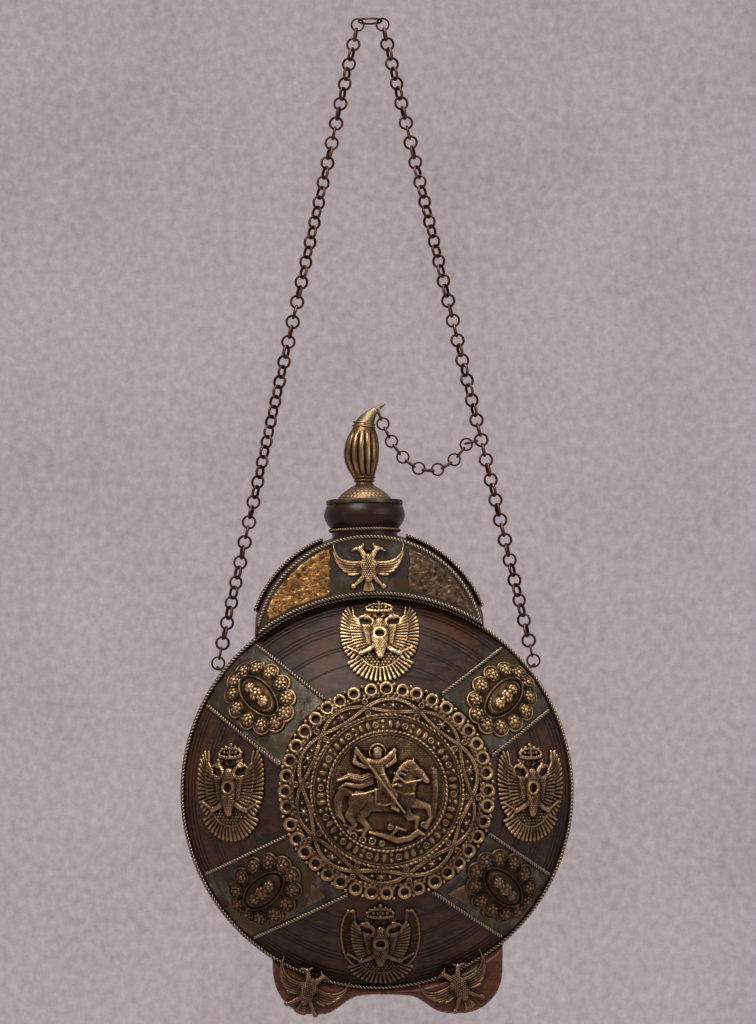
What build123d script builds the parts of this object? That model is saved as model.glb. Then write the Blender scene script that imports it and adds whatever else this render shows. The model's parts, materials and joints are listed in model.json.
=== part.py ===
from build123d import *
import math
import os

# Pilgrim flask: a hollow lens-shaped wooden bottle with metal fittings, a stopper on a
# tether, and a ring chain that it hangs from. Lengths are in millimetres, +Z is up and
# the front looks along -Y. The origin is the middle of the ring that the chain hangs by.

# Carrying chain
chain_ring_radius = 3.15
chain_wire_radius = 0.525
chain_play = 0.1
chain_rings_per_side = 65
hanging_ring_radius = 5.9
hanging_wire_radius = 0.6

# Tether chain
tether_ring_radius = 2.95
tether_wire_radius = 0.475
tether_play = 0.05
tether_ring_count = 14
tether_span_starts = (0, 1, 4, 7, 10)
tether_join_ring = 42
catch_slack = 0.6
catch_drop = 0.4

# Wooden bottle
body_radius = 95.0
dome_height = 38.0
rim_half_width = 12.0
wall = 5.0
lap_depth = 3.0
lap_width = 2.4
lap_clearance = 0.1
metal_gap = 0.15
cut_overrun = 2.0

# Rim strip and its wires
strip_thickness = 0.8
trim_wire_radius = 0.9
wire_gap = 0.05

# Shoulder yoke
yoke_offset_x = -3.0
yoke_centre_z = 69.0
yoke_radius = 59.5
yoke_half_span = 56.5
yoke_half_width = 17.5
yoke_edge_fall = 2.5
seat_gap = 0.2
plate_thickness = 0.8
shoulder_plate_inset = 1.6
side_band_width = 11.0
side_band_clear = 4.0

# Neck, collar and mouth
neck_offset_x = -5.0
bore_radius = 9.0
neck_tube_radius = 11.8
neck_reach_in = 4.0
collar_foot_radius = 16.25
collar_foot_depth = 6.0
collar_foot_height = 1.5
collar_radius = 20.3
collar_height = 13.5
collar_rounding = 5.5
collar_lip = 1.5
neck_clearance = 0.1

# Stopper
plug_clearance = 0.06
plug_length = 15.0
plug_taper = 0.6
stopper_lift_gap = 0.1
flange_radius = 19.15
flange_thickness = 2.5
cap_dome_radius = 13.25
cap_dome_height = 6.2
cap_dome_top_radius = 6.7
waist_radius = 4.0
waist_height = 3.0
grip_foot_radius = 4.7
grip_radius = 8.6
grip_top_radius = 5.6
grip_height = 27.5
grip_widest_height = 14.5
flute_count = 14
flute_radius = 1.3
flute_spread = 0.5
beak_base_radius = 5.6
beak_height = 11.7
beak_lean = 10.6
beak_tip_radius = 0.5
eye_radius = 1.3
eye_offset_x = 6.9
eye_height = 9.0
spindle_radius = 1.5
spindle_clearance = 0.05
spindle_depth = 10.0
spindle_rise = 10.0

# Lugs on the rim
lug_angle = 51.9
lug_eye_radius = 100.4
lug_wire_radius = 0.6
lug_arch_radius = 2.7
lug_pad_length = 7.0
lug_pad_width = 8.4
lug_pad_thickness = 1.0

# Feet
foot_half_width = 16.0
foot_drop = 12.0
foot_rounding = 2.5
left_foot_outer = 52.0
left_foot_inner = 20.0
right_foot_outer = 61.0
right_foot_inner = 27.0
foot_outer_corner = 17.0
foot_inner_corner = 9.0
foot_waist_left = 11.0
foot_waist_right = 16.0
foot_top_height = 78.5

# Medallion
medallion_offset_x = 5.0
medallion_offset_z = 1.0
medallion_field_radius = 45.2
medallion_thickness = 1.0
border_loop_count = 40
border_loop_radius = 3.2
border_loop_wire = 0.7
border_circle_radius = 48.2
medallion_ring_radii = (44.6, 36.0, 27.8)
medallion_ring_wire = 0.9
guilloche_boss_count = 10
guilloche_boss_radius = 1.7
guilloche_circle_radius = 40.3
medallion_clear = 0.3

# Corner plates: place on the rim, direction of the band, and the boss that each carries
band_width = 36.2
band_length = 66.0
band_rim_radius = 94.0
plate_places = {
    "upper_left": (140.8, 39.0, -58.0, 46.0, 140.5),
    "upper_right": (36.4, 36.6, 60.0, 44.0, 38.0),
    "lower_left": (216.8, 25.4, -56.0, -47.0, 216.5),
    "lower_right": (-38.0, 35.0, 58.5, -46.5, -39.0),
}
boss_length = 41.0
boss_width = 30.5
boss_thickness = 1.2
boss_rim_share = 0.74
boss_waist_share = 0.95
rosette_count = 12
rosette_radius = 3.3
rosette_sink = 1.6
boss_core_radius = 5.0
boss_core_sink = 3.0
boss_core_half_length = 4.0

# Eagles
eagle_width = 38.0
eagle_height = 48.0
eagle_thickness = 1.8
eagle_places = {
    "top": (2.0, 74.2),
    "left": (-71.5, 0.5),
    "right": (75.0, -1.0),
    "bottom": (1.0, -74.2),
}
small_eagle_width = 35.0
small_eagle_height = 22.5
small_eagle_thickness = 1.6
shoulder_eagle_x = -3.2
shoulder_eagle_z = 110.2
left_foot_eagle = (-34.5, -97.0, -22.0)
right_foot_eagle = (39.5, -95.5, 28.0)

# Outlines, as shares of half the width and half the height of each figure
crowned_eagle_shares = [
    (0.00, 1.00), (0.10, 0.98), (0.12, 0.88), (0.38, 0.82), (0.44, 0.68), (0.36, 0.56),
    (0.52, 0.56), (0.66, 0.66), (0.76, 0.90), (0.96, 0.70), (1.00, 0.30), (0.94, -0.08),
    (0.84, -0.30), (0.72, -0.42), (0.42, -0.38), (0.72, -0.58), (0.78, -0.70),
    (0.52, -0.88), (0.26, -0.97), (0.00, -1.00),
]
small_eagle_shares = [
    (0.00, 0.42), (0.14, 0.78), (0.42, 0.86), (0.46, 0.62), (0.30, 0.48), (0.40, 0.20),
    (0.70, 0.36), (0.96, 1.00), (1.00, 0.42), (0.86, -0.06), (0.60, -0.40), (0.34, -0.34),
    (0.50, -0.74), (0.34, -0.84), (0.18, -0.56), (0.14, -1.00), (0.00, -1.00),
]
eagle_hole_shares = [(0.0, 0.10, 0.11), (0.32, 0.42, 0.10), (0.0, 0.60, 0.07)]
rider_stroke_shares = [
    (-0.34, -0.22, 0.30, -0.16, 0.150), (0.24, -0.12, 0.52, 0.28, 0.100),
    (0.50, 0.30, 0.74, 0.16, 0.060), (-0.34, -0.26, -0.48, -0.62, 0.070),
    (-0.26, -0.26, -0.20, -0.66, 0.060), (0.26, -0.20, 0.62, -0.30, 0.055),
    (0.62, -0.30, 0.56, -0.52, 0.045), (0.28, -0.22, 0.44, -0.58, 0.055),
    (-0.42, -0.12, -0.72, -0.46, 0.050), (-0.04, -0.02, -0.02, 0.42, 0.110),
    (-0.02, 0.66, -0.02, 0.68, 0.085), (-0.10, 0.38, -0.52, 0.52, 0.050),
    (0.04, 0.36, 0.34, 0.12, 0.045), (-0.62, -0.80, 0.66, -0.78, 0.080),
]
rider_field_radius = 24.0
rider_relief = 1.4

# Sizes that follow from those above
chain_pitch = 2 * (chain_ring_radius - chain_wire_radius) - chain_play
first_ring_offset = chain_ring_radius - chain_wire_radius - hanging_wire_radius - chain_play
last_ring_offset = chain_ring_radius - chain_wire_radius - lug_wire_radius - chain_play
strand_length = first_ring_offset + (chain_rings_per_side - 1) * chain_pitch + last_ring_offset
lug_x = lug_eye_radius * math.sin(math.radians(lug_angle))
lug_rise = lug_eye_radius * math.cos(math.radians(lug_angle))
lug_drop = math.sqrt(strand_length**2 - (lug_x - hanging_ring_radius)**2)
body_drop = lug_drop + lug_rise
dome_radius = (body_radius**2 + dome_height**2) / (2 * dome_height)
dome_centre_y = dome_radius - dome_height - rim_half_width
strip_outer_radius = body_radius + metal_gap + strip_thickness
rim_wire_circle = strip_outer_radius + wire_gap
rim_wire_y = rim_half_width + trim_wire_radius + wire_gap
saddle_radius = rim_wire_circle + trim_wire_radius + seat_gap
yoke_top = yoke_centre_z + yoke_radius
collar_foot_z = yoke_top + collar_foot_height
mouth_z = yoke_top + collar_height
flange_z = mouth_z + stopper_lift_gap
cap_dome_z = flange_z + flange_thickness
grip_z = cap_dome_z + cap_dome_height + waist_height
beak_z = grip_z + grip_height
tether_pitch = 2 * (tether_ring_radius - tether_wire_radius) - tether_play
body_place = Location((0, 0, -body_drop))
NODES = {}


def keep(name, shape, place=body_place):
    """Store a sub-part, moved from the middle of the bottle to its place under the chain."""
    NODES[name] = place * shape if place else shape


def y_cylinder(radius, half_length, x=0, z=0):
    """A cylinder along Y, centred on the middle plane."""
    return Pos(x, 0, z) * Rot(90, 0, 0) * Cylinder(radius, 2 * half_length)


def y_slab(face, front, depth):
    """A face drawn in X and Z, run back from the front plane by a depth."""
    return extrude(Plane.XZ.offset(-front) * face, amount=-depth)


def back_of(shape):
    """The same piece on the back of the flask."""
    return mirror(shape, about=Plane.XZ)


def cap_frame(x, z):
    """A frame at the middle of the dome's sphere, its Z axis through the dome at (x, z)."""
    depth = math.sqrt(dome_radius**2 - x**2 - z**2)
    outward = Vector(x, -depth, z)
    return Plane(origin=(0, dome_centre_y, 0), x_dir=Vector(0, 0, 1).cross(outward), z_dir=outward)


def shell(inner_gap, thickness):
    """A layer that follows the dome, centred on the dome's own sphere."""
    return Sphere(dome_radius + inner_gap + thickness) - Sphere(dome_radius + inner_gap)


def shell_piece(outline, inner_gap, thickness, detail_groups=()):
    """The part of a layer that an outline in the touching plane covers, with its raised details."""
    prism = extrude(Plane.XY.offset(dome_radius / 2) * outline, amount=dome_radius)
    piece = prism & Sphere(dome_radius + inner_gap + thickness)
    for group in detail_groups:
        piece = piece.fuse(*group)
    return piece - Sphere(dome_radius + inner_gap)


def mirrored_outline(shares, half_width, half_height):
    """A closed face from one half of a figure's outline."""
    right = [(x * half_width, y * half_height) for x, y in shares]
    left = [(-x, y) for x, y in reversed(right[1:-1])]
    return make_face(Polyline(*right, *left, close=True))


def eagle_face(shares, width, height, with_holes):
    """The flat outline of an eagle, pierced where the real casting is open."""
    face = mirrored_outline(shares, width / 2, height / 2)
    if with_holes:
        for x, y, radius in eagle_hole_shares:
            for side in sorted({-x, x}):
                face -= Pos(side * width / 2, y * height / 2) * Circle(radius * width / 2)
    return face


def ring(radius, wire, centre, along, edge_on):
    """One round chain ring: its hole faces the front, or it is turned about the strand."""
    hole_axis = Vector(0, 1, 0)
    if edge_on:
        hole_axis = Vector(along).cross(Vector(0, 1, 0))
    return Plane(origin=centre, z_dir=hole_axis).location * Torus(radius, wire)


def strand_point(side, distance):
    """A point on the line of one strand, by its distance from the hanging ring's wire."""
    share = distance / strand_length
    x = hanging_ring_radius + share * (lug_x - hanging_ring_radius)
    return Vector(side * x, 0, -share * lug_drop)


def strand(side):
    """All the rings of one side of the carrying chain, alternately face on and edge on."""
    along = strand_point(side, strand_length) - strand_point(side, 0)
    rings = []
    for index in range(chain_rings_per_side):
        centre = strand_point(side, first_ring_offset + index * chain_pitch)
        rings.append(ring(chain_ring_radius, chain_wire_radius, centre, along, index % 2 == 1))
    return Compound(children=rings)


def catenary_points(start, end, length, count):
    """Evenly spaced points on the line that a chain of this length hangs in."""
    span = end.X - start.X
    rise = end.Z - start.Z
    target = math.sqrt(length**2 - rise**2) / span
    low, high = 1e-6, 20.0
    for _ in range(80):
        middle = (low + high) / 2
        if math.sinh(middle) / middle < target:
            low = middle
        else:
            high = middle
    scale = span / (2 * low)
    lowest_x = (start.X + end.X) / 2 - scale * math.atanh(rise / length)
    start_arc = scale * math.sinh((start.X - lowest_x) / scale)
    base_z = start.Z - scale * math.cosh((start.X - lowest_x) / scale)
    points = []
    for index in range(count + 1):
        arc = start_arc + length * index / count
        x = lowest_x + scale * math.asinh(arc / scale)
        points.append(Vector(x, 0, base_z + scale * math.cosh((x - lowest_x) / scale)))
    return points


def bowl_front():
    """The front half of the turned bottle, with the tongue of the lap joint."""
    depth = rim_half_width + dome_height
    inner_radius = body_radius - wall
    inner_depth = depth - wall
    inner_rim = dome_centre_y - math.sqrt((dome_radius - wall)**2 - inner_radius**2)
    outer_middle = dome_point_2d(body_radius / 2, dome_radius)
    inner_middle = dome_point_2d(inner_radius / 2, dome_radius - wall)
    outline = Polyline((0, -inner_depth), (0, -depth))
    outline += ThreePointArc((0, -depth), outer_middle, (body_radius, -rim_half_width))
    outline += Polyline(
        (body_radius, -rim_half_width), (body_radius, 0), (inner_radius + lap_width, 0),
        (inner_radius + lap_width, lap_depth), (inner_radius, lap_depth), (inner_radius, inner_rim),
    )
    outline += ThreePointArc((inner_radius, inner_rim), inner_middle, (0, -inner_depth))
    bowl = revolve(make_face(outline), axis=Axis.Y)
    return bowl - neck_hole(neck_tube_radius + neck_clearance)


def dome_point_2d(radius, sphere_radius):
    """A point of a dome's profile, by its distance from the bottle's axis."""
    return (radius, dome_centre_y - math.sqrt(sphere_radius**2 - radius**2))


def neck_hole(radius):
    """The upright bore through the top of the bottle."""
    low = body_radius / 2
    return Pos(neck_offset_x, 0, low) * Cylinder(
        radius, body_radius, align=(Align.CENTER, Align.CENTER, Align.MIN)
    )


def bowl_back():
    """The back half: a mirrored bowl without the tongue, rebated to take it."""
    half = back_of(bowl_front())
    half -= y_cylinder(body_radius + cut_overrun, 2 * lap_depth) & Pos(0, -lap_depth, 0) * Box(
        4 * body_radius, 2 * lap_depth, 4 * body_radius
    )
    rebate = y_cylinder(body_radius - wall + lap_width + lap_clearance, lap_depth + lap_clearance)
    return half - rebate


def rim_strip():
    """The metal strip round the seam, with the hole that the neck passes through."""
    strip = y_cylinder(strip_outer_radius, rim_half_width)
    strip -= y_cylinder(body_radius + metal_gap, rim_half_width + cut_overrun)
    return strip - neck_hole(neck_tube_radius + neck_clearance)


def rim_wire():
    """The front edge wire of the rim strip."""
    return Pos(0, -rim_wire_y, 0) * Rot(90, 0, 0) * Torus(rim_wire_circle, trim_wire_radius)


def crescent(outer_radius, inner_radius, half_span):
    """The shoulder's outline: one circle above another, cut off square at both ends."""
    face = Pos(yoke_offset_x, yoke_centre_z) * Circle(outer_radius)
    face -= Circle(inner_radius)
    window = Pos(yoke_offset_x, yoke_centre_z + yoke_radius) * Rectangle(2 * half_span, 2 * yoke_radius)
    return face & window


def shoulder_yoke():
    """The wooden block on top of the bottle, thinner towards its outer edge's corners."""
    edge = yoke_radius - yoke_edge_fall
    middle = yoke_radius - yoke_edge_fall / 4
    profile = Polyline((0, -yoke_half_width), (edge, -yoke_half_width))
    profile += ThreePointArc((edge, -yoke_half_width), (middle, -yoke_half_width / 2), (yoke_radius, 0))
    profile += ThreePointArc((yoke_radius, 0), (middle, yoke_half_width / 2), (edge, yoke_half_width))
    profile += Polyline((edge, yoke_half_width), (0, yoke_half_width), (0, -yoke_half_width))
    lens = Pos(yoke_offset_x, 0, yoke_centre_z) * revolve(make_face(profile), axis=Axis.Y)
    depth = yoke_half_width + cut_overrun
    yoke = lens & y_slab(crescent(2 * yoke_radius, saddle_radius, yoke_half_span), -depth, 2 * depth)
    foot = Pos(neck_offset_x, 0, collar_foot_z - collar_foot_depth) * Cylinder(
        collar_foot_radius + neck_clearance, yoke_radius, align=(Align.CENTER, Align.CENTER, Align.MIN)
    )
    return yoke - neck_hole(neck_tube_radius + neck_clearance) - foot


def shoulder_plate():
    """The front plate of the shoulder, a flat crescent on the yoke."""
    outer = yoke_radius - yoke_edge_fall - shoulder_plate_inset
    face = crescent(outer, saddle_radius + shoulder_plate_inset, yoke_half_span - shoulder_plate_inset)
    return y_slab(face, -yoke_half_width - metal_gap - plate_thickness, plate_thickness)


def wire_arc(radius, x, z, y, start, end):
    """A round wire bent to an arc of a circle that faces the front; angles from +X towards +Z."""
    section = Pos(radius, 0, 0) * Rot(90, 0, 0) * Circle(trim_wire_radius)
    arc = revolve(section, axis=Axis.Z, revolution_arc=end - start)
    return Pos(x, y, z) * Rot(90, 0, 0) * Rot(0, 0, start) * arc


def shoulder_wires():
    """The two border wires of the shoulder's front plate, one above and one below it."""
    y = -yoke_half_width - trim_wire_radius - wire_gap
    upper = yoke_radius - yoke_edge_fall - shoulder_plate_inset + trim_wire_radius + wire_gap
    lower = saddle_radius + trim_wire_radius / 2
    reach = yoke_half_span - shoulder_plate_inset
    upper_start = math.degrees(math.acos(reach / upper))
    left_end = math.degrees(math.acos((yoke_offset_x - reach) / lower))
    right_start = math.degrees(math.acos((yoke_offset_x + reach) / lower))
    wires = [
        wire_arc(upper, yoke_offset_x, yoke_centre_z, y, upper_start, 180 - upper_start),
        wire_arc(lower, 0, 0, y, right_start, left_end),
    ]
    return Compound(children=wires)


def side_band(side):
    """The stamped strip over one side of the yoke's edge, from its end up to the neck."""
    outer = yoke_radius + metal_gap + plate_thickness
    tube = y_cylinder(outer, side_band_width) - y_cylinder(yoke_radius + metal_gap, side_band_width + cut_overrun)
    tube = Pos(yoke_offset_x, 0, yoke_centre_z) * tube
    low_x = yoke_offset_x - yoke_half_span if side < 0 else neck_offset_x + collar_foot_radius + side_band_clear
    high_x = neck_offset_x - collar_foot_radius - side_band_clear if side < 0 else yoke_offset_x + yoke_half_span
    middle = (low_x + high_x) / 2
    window = Pos(middle, 0, yoke_centre_z + yoke_radius / 2) * Box(
        high_x - low_x, 2 * side_band_width + cut_overrun, yoke_radius + 2 * cut_overrun
    )
    return (tube & window) - y_cylinder(saddle_radius, side_band_width + cut_overrun)


def neck_collar():
    """The turned wooden neck: a tube down into the bottle and a rounded collar on top."""
    tube_low = math.sqrt((body_radius - wall)**2 - neck_offset_x**2) - neck_reach_in
    foot_low = collar_foot_z - collar_foot_depth
    widest = mouth_z - collar_rounding
    profile = Polyline(
        (bore_radius, tube_low), (neck_tube_radius, tube_low), (neck_tube_radius, foot_low),
        (collar_foot_radius, foot_low), (collar_foot_radius, collar_foot_z),
    )
    shoulder = (collar_foot_radius + 0.7 * (collar_radius - collar_foot_radius), (collar_foot_z + widest) / 2)
    profile += ThreePointArc((collar_foot_radius, collar_foot_z), shoulder, (collar_radius, widest))
    brow = (collar_radius - 0.25 * collar_lip, (widest + mouth_z) / 2)
    profile += ThreePointArc((collar_radius, widest), brow, (collar_radius - collar_lip, mouth_z))
    profile += Polyline((collar_radius - collar_lip, mouth_z), (bore_radius, mouth_z), (bore_radius, tube_low))
    return Pos(neck_offset_x, 0, 0) * revolve(make_face(Plane.XZ * profile), axis=Axis.Z)


def neck_wire():
    """The thin wire round the collar's foot."""
    wire_circle = collar_foot_radius + wire_gap + trim_wire_radius
    return Pos(neck_offset_x, 0, yoke_top + trim_wire_radius + wire_gap) * Torus(wire_circle, trim_wire_radius)


def turned(points, arcs=()):
    """A solid turned about the stopper's axis from a profile of radius and height."""
    return Pos(neck_offset_x, 0, 0) * revolve(make_face(Plane.XZ * Polyline(*points, close=True)), axis=Axis.Z)


def spindle_hole():
    """The drilling that the stopper's spindle runs in."""
    low = flange_z - spindle_depth - spindle_clearance
    return Pos(neck_offset_x, 0, low) * Cylinder(
        spindle_radius + spindle_clearance,
        grip_z + spindle_rise + spindle_clearance - low,
        align=(Align.CENTER, Align.CENTER, Align.MIN),
    )


def stopper_plug():
    """The tapered plug in the neck's bore."""
    top = bore_radius - plug_clearance
    low = flange_z - plug_length
    return turned([(0, low), (top - plug_taper, low), (top, flange_z), (0, flange_z)]) - spindle_hole()


def stopper_flange():
    """The flat metal disc that covers the mouth."""
    disc = turned([(0, flange_z), (flange_radius, flange_z), (flange_radius, cap_dome_z), (0, cap_dome_z)])
    return disc - spindle_hole()


def stopper_dome():
    """The bell-shaped foot of the grip, with its narrow waist."""
    dome_top = cap_dome_z + cap_dome_height
    profile = Polyline((0, cap_dome_z), (cap_dome_radius, cap_dome_z))
    brow = (0.5 * (cap_dome_radius + cap_dome_top_radius) + 0.15 * cap_dome_height, cap_dome_z + 0.6 * cap_dome_height)
    profile += ThreePointArc((cap_dome_radius, cap_dome_z), brow, (cap_dome_top_radius, dome_top))
    hollow = (waist_radius + 0.3 * (cap_dome_top_radius - waist_radius), dome_top + 0.4 * waist_height)
    profile += ThreePointArc((cap_dome_top_radius, dome_top), hollow, (waist_radius, grip_z))
    profile += Polyline((waist_radius, grip_z), (0, grip_z), (0, cap_dome_z))
    bell = revolve(make_face(Plane.XZ * profile), axis=Axis.Z)
    return Pos(neck_offset_x, 0, 0) * bell - spindle_hole()


def stopper_grip():
    """The fluted bulb that the fingers hold."""
    widest = grip_z + grip_widest_height
    top = grip_z + grip_height
    lower = (0.5 * (grip_foot_radius + grip_radius) + 0.2 * grip_radius, grip_z + 0.4 * grip_widest_height)
    upper = (0.5 * (grip_top_radius + grip_radius) + 0.12 * grip_radius, widest + 0.55 * (grip_height - grip_widest_height))
    profile = Polyline((0, grip_z), (grip_foot_radius, grip_z))
    profile += ThreePointArc((grip_foot_radius, grip_z), lower, (grip_radius, widest))
    profile += ThreePointArc((grip_radius, widest), upper, (grip_top_radius, top))
    profile += Polyline((grip_top_radius, top), (0, top), (0, grip_z))
    bulb = revolve(make_face(Plane.XZ * profile), axis=Axis.Z)
    reach = grip_radius + flute_radius - flute_spread
    flutes = []
    for index in range(flute_count):
        turn = Rot(0, 0, 360 * index / flute_count)
        flutes.append(turn * Pos(reach, 0, widest) * Cylinder(flute_radius, 0.55 * grip_height))
    return Pos(neck_offset_x, 0, 0) * (bulb - flutes) - spindle_hole()


def beak_section(share, centre_share, radius, flatness):
    """One level cross-section of the beak, by its share of the beak's height and lean."""
    place = Plane.XY.offset(beak_z + share * beak_height)
    return place * Pos(centre_share * beak_lean, 0) * Ellipse(radius, flatness * radius)


def stopper_cap():
    """The curved beak on top of the grip, with the eye that the tether hangs in."""
    sections = [
        beak_section(0.0, 0.0, beak_base_radius, 1.0),
        beak_section(0.36, 0.12, 0.8 * beak_base_radius, 0.9),
        beak_section(0.66, 0.40, 0.6 * beak_base_radius, 0.42),
        beak_section(0.86, 0.70, 0.4 * beak_base_radius, 0.4),
        beak_section(1.0, 1.0, beak_tip_radius, 0.98),
    ]
    beak = loft(sections)
    eye = Pos(eye_offset_x, 0, beak_z + eye_height) * Rot(90, 0, 0) * Cylinder(eye_radius, 4 * beak_base_radius)
    return Pos(neck_offset_x, 0, 0) * (beak - eye)


def stopper_spindle():
    """The rod that holds plug, disc, foot and grip together."""
    low = flange_z - spindle_depth
    return Pos(neck_offset_x, 0, low) * Cylinder(
        spindle_radius, grip_z + spindle_rise - low, align=(Align.CENTER, Align.CENTER, Align.MIN)
    )


def lug(side):
    """A small wire arch on the rim that the last ring of a strand hangs in, with its pad."""
    arch_centre = lug_eye_radius - lug_arch_radius
    section = Pos(lug_arch_radius, 0, 0) * Rot(90, 0, 0) * Circle(lug_wire_radius)
    arch = Plane.YZ.location * revolve(section, axis=Axis.Z, revolution_arc=180)
    arch = Pos(0, 0, arch_centre) * arch
    leg_low = strip_outer_radius + lug_pad_thickness / 2
    for leg_side in (-1, 1):
        arch += Pos(0, leg_side * lug_arch_radius, leg_low) * Cylinder(
            lug_wire_radius, arch_centre - leg_low, align=(Align.CENTER, Align.CENTER, Align.MIN)
        )
    pad = Pos(0, 0, strip_outer_radius) * Box(lug_pad_length, lug_pad_width, 2 * lug_pad_thickness)
    whole = (arch + pad) - y_cylinder(strip_outer_radius + wire_gap, lug_pad_width)
    return Rot(0, side * lug_angle, 0) * whole


def foot(side, outer, inner, waist):
    """One rounded wooden foot under the rim; its top is hollowed to sit on the rim."""
    sole = -saddle_radius - foot_drop + seat_gap
    top = -foot_top_height
    points = [
        (side * outer, top), (side * outer, sole), (side * inner, sole), (side * waist, sole + foot_drop / 2),
        (side * (waist - foot_inner_corner), -saddle_radius), (side * (waist - foot_inner_corner), top),
    ]
    block = y_slab(make_face(Polyline(*points, close=True)), -foot_half_width, 2 * foot_half_width)
    corner = block.edges().filter_by(Axis.Y).filter_by(
        lambda edge: abs(edge.center().X - side * outer) < wire_gap and abs(edge.center().Z - sole) < wire_gap
    )
    block = fillet(corner, foot_outer_corner)
    inner_corner = block.edges().filter_by(Axis.Y).filter_by(
        lambda edge: abs(edge.center().X - side * inner) < wire_gap and abs(edge.center().Z - sole) < wire_gap
    )
    block = fillet(inner_corner, foot_inner_corner)
    return block - y_cylinder(saddle_radius, foot_half_width + cut_overrun)


def medallion_outline():
    """The cast disc's outline, with a border of pierced loops."""
    face = Circle(medallion_field_radius)
    for index in range(border_loop_count):
        turn = Rot(0, 0, 360 * index / border_loop_count)
        face += turn * Pos(border_circle_radius, 0) * Circle(border_loop_radius + border_loop_wire)
    for index in range(border_loop_count):
        turn = Rot(0, 0, 360 * index / border_loop_count)
        face -= turn * Pos(border_circle_radius, 0) * Circle(border_loop_radius - border_loop_wire)
    return face


def rider_face():
    """The flat outline of a rider on a leaping horse, made of round-ended strokes."""
    face = Sketch()
    for x1, y1, x2, y2, radius in rider_stroke_shares:
        start = Vector(x1, y1) * rider_field_radius
        end = Vector(x2, y2) * rider_field_radius
        turn = math.degrees(math.atan2(end.Y - start.Y, end.X - start.X))
        middle = (start + end) / 2
        bar = SlotCenterToCenter((end - start).length, 2 * radius * rider_field_radius)
        face += Pos(middle.X, middle.Y) * Rot(0, 0, turn) * bar
    return face


def medallion():
    """The large cast disc: a domed field with rings, bosses, a rider and a border of loops."""
    face = dome_radius + metal_gap + medallion_thickness
    borders = []
    for radius in medallion_ring_radii:
        borders.append(Pos(0, 0, math.sqrt(face**2 - radius**2)) * Torus(radius, medallion_ring_wire))
    bosses = balls_on_circle(guilloche_boss_count, guilloche_boss_radius, guilloche_circle_radius, face)
    rider = extrude(Plane.XY.offset(dome_radius / 2) * rider_face(), amount=dome_radius)
    rider &= Sphere(face + rider_relief)
    groups = [borders, bosses, [rider]]
    cast = shell_piece(medallion_outline(), metal_gap, medallion_thickness, groups)
    return cap_frame(medallion_offset_x, medallion_offset_z).location * cast


def balls_on_circle(count, radius, circle_radius, sphere_radius):
    """Small balls evenly round a circle on the cast's face."""
    height = math.sqrt(sphere_radius**2 - circle_radius**2)
    balls = []
    for index in range(count):
        balls.append(Rot(0, 0, 360 * index / count) * Pos(circle_radius, 0, height) * Sphere(radius))
    return balls


def on_face(x, y, sphere_radius):
    """A point of a sphere above a place in the touching plane."""
    return Vector(x, y, math.sqrt(sphere_radius**2 - x**2 - y**2))


def band_lines(angle, direction):
    """The outer middle point of a corner plate and the unit vector that it runs inwards along."""
    outer = Vector(math.cos(math.radians(angle)), math.sin(math.radians(angle)), 0) * band_rim_radius
    sign_x = -1 if outer.X > 0 else 1
    sign_y = -1 if outer.Y > 0 else 1
    inward = Vector(sign_x * math.cos(math.radians(direction)), sign_y * math.sin(math.radians(direction)), 0)
    return outer, inward


def corner_plate(angle, direction):
    """A band of sheet metal on the dome, from the rim to the medallion."""
    outer, inward = band_lines(angle, direction)
    middle = outer + inward * (band_length / 2 - cut_overrun)
    turn = math.degrees(math.atan2(inward.Y, inward.X))
    face = Pos(middle.X, middle.Y) * Rot(0, 0, turn) * Rectangle(band_length, band_width)
    face &= Circle(band_rim_radius)
    face -= Pos(medallion_offset_x, medallion_offset_z) * Circle(medallion_outer_radius() + medallion_clear)
    depth = rim_half_width + dome_height + cut_overrun
    prism = y_slab(face, -depth - cut_overrun, depth)
    return prism & Pos(0, dome_centre_y, 0) * shell(metal_gap, plate_thickness)


def medallion_outer_radius():
    """How far the medallion's border reaches from its own middle."""
    return border_circle_radius + border_loop_radius + border_loop_wire


def plate_wire(angle, direction, side):
    """The wire along one long side of a corner plate, bent to the dome."""
    outer, inward = band_lines(angle, direction)
    across = Vector(-inward.Y, inward.X, 0)
    offset = outer.dot(across) + side * (band_width / 2 + trim_wire_radius + wire_gap)
    wire_sphere = dome_radius + wire_gap + trim_wire_radius
    circle_radius = math.sqrt(wire_sphere**2 - offset**2)
    rim_limit = body_radius - trim_wire_radius - wire_gap
    far = -math.sqrt(rim_limit**2 - offset**2)
    medallion_middle = Vector(medallion_offset_x, medallion_offset_z, 0)
    miss = medallion_middle.dot(across) - offset
    inner_limit = medallion_outer_radius() + medallion_clear + trim_wire_radius
    near = medallion_middle.dot(inward) - math.sqrt(max(inner_limit**2 - miss**2, 0))
    start = math.degrees(math.asin(far / circle_radius))
    end = math.degrees(math.asin(near / circle_radius))
    section = Pos(0, circle_radius) * Rot(0, 90, 0) * Circle(trim_wire_radius)
    arc = revolve(section, axis=Axis.Z, revolution_arc=end - start)
    arc = Rot(0, 0, -end) * arc
    foot_point = across * offset
    frame = Plane(
        origin=(foot_point.X, dome_centre_y, foot_point.Y),
        x_dir=(inward.X, 0, inward.Y),
        z_dir=Vector(inward.X, 0, inward.Y).cross(Vector(0, -1, 0)),
    )
    return frame.location * arc


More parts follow.
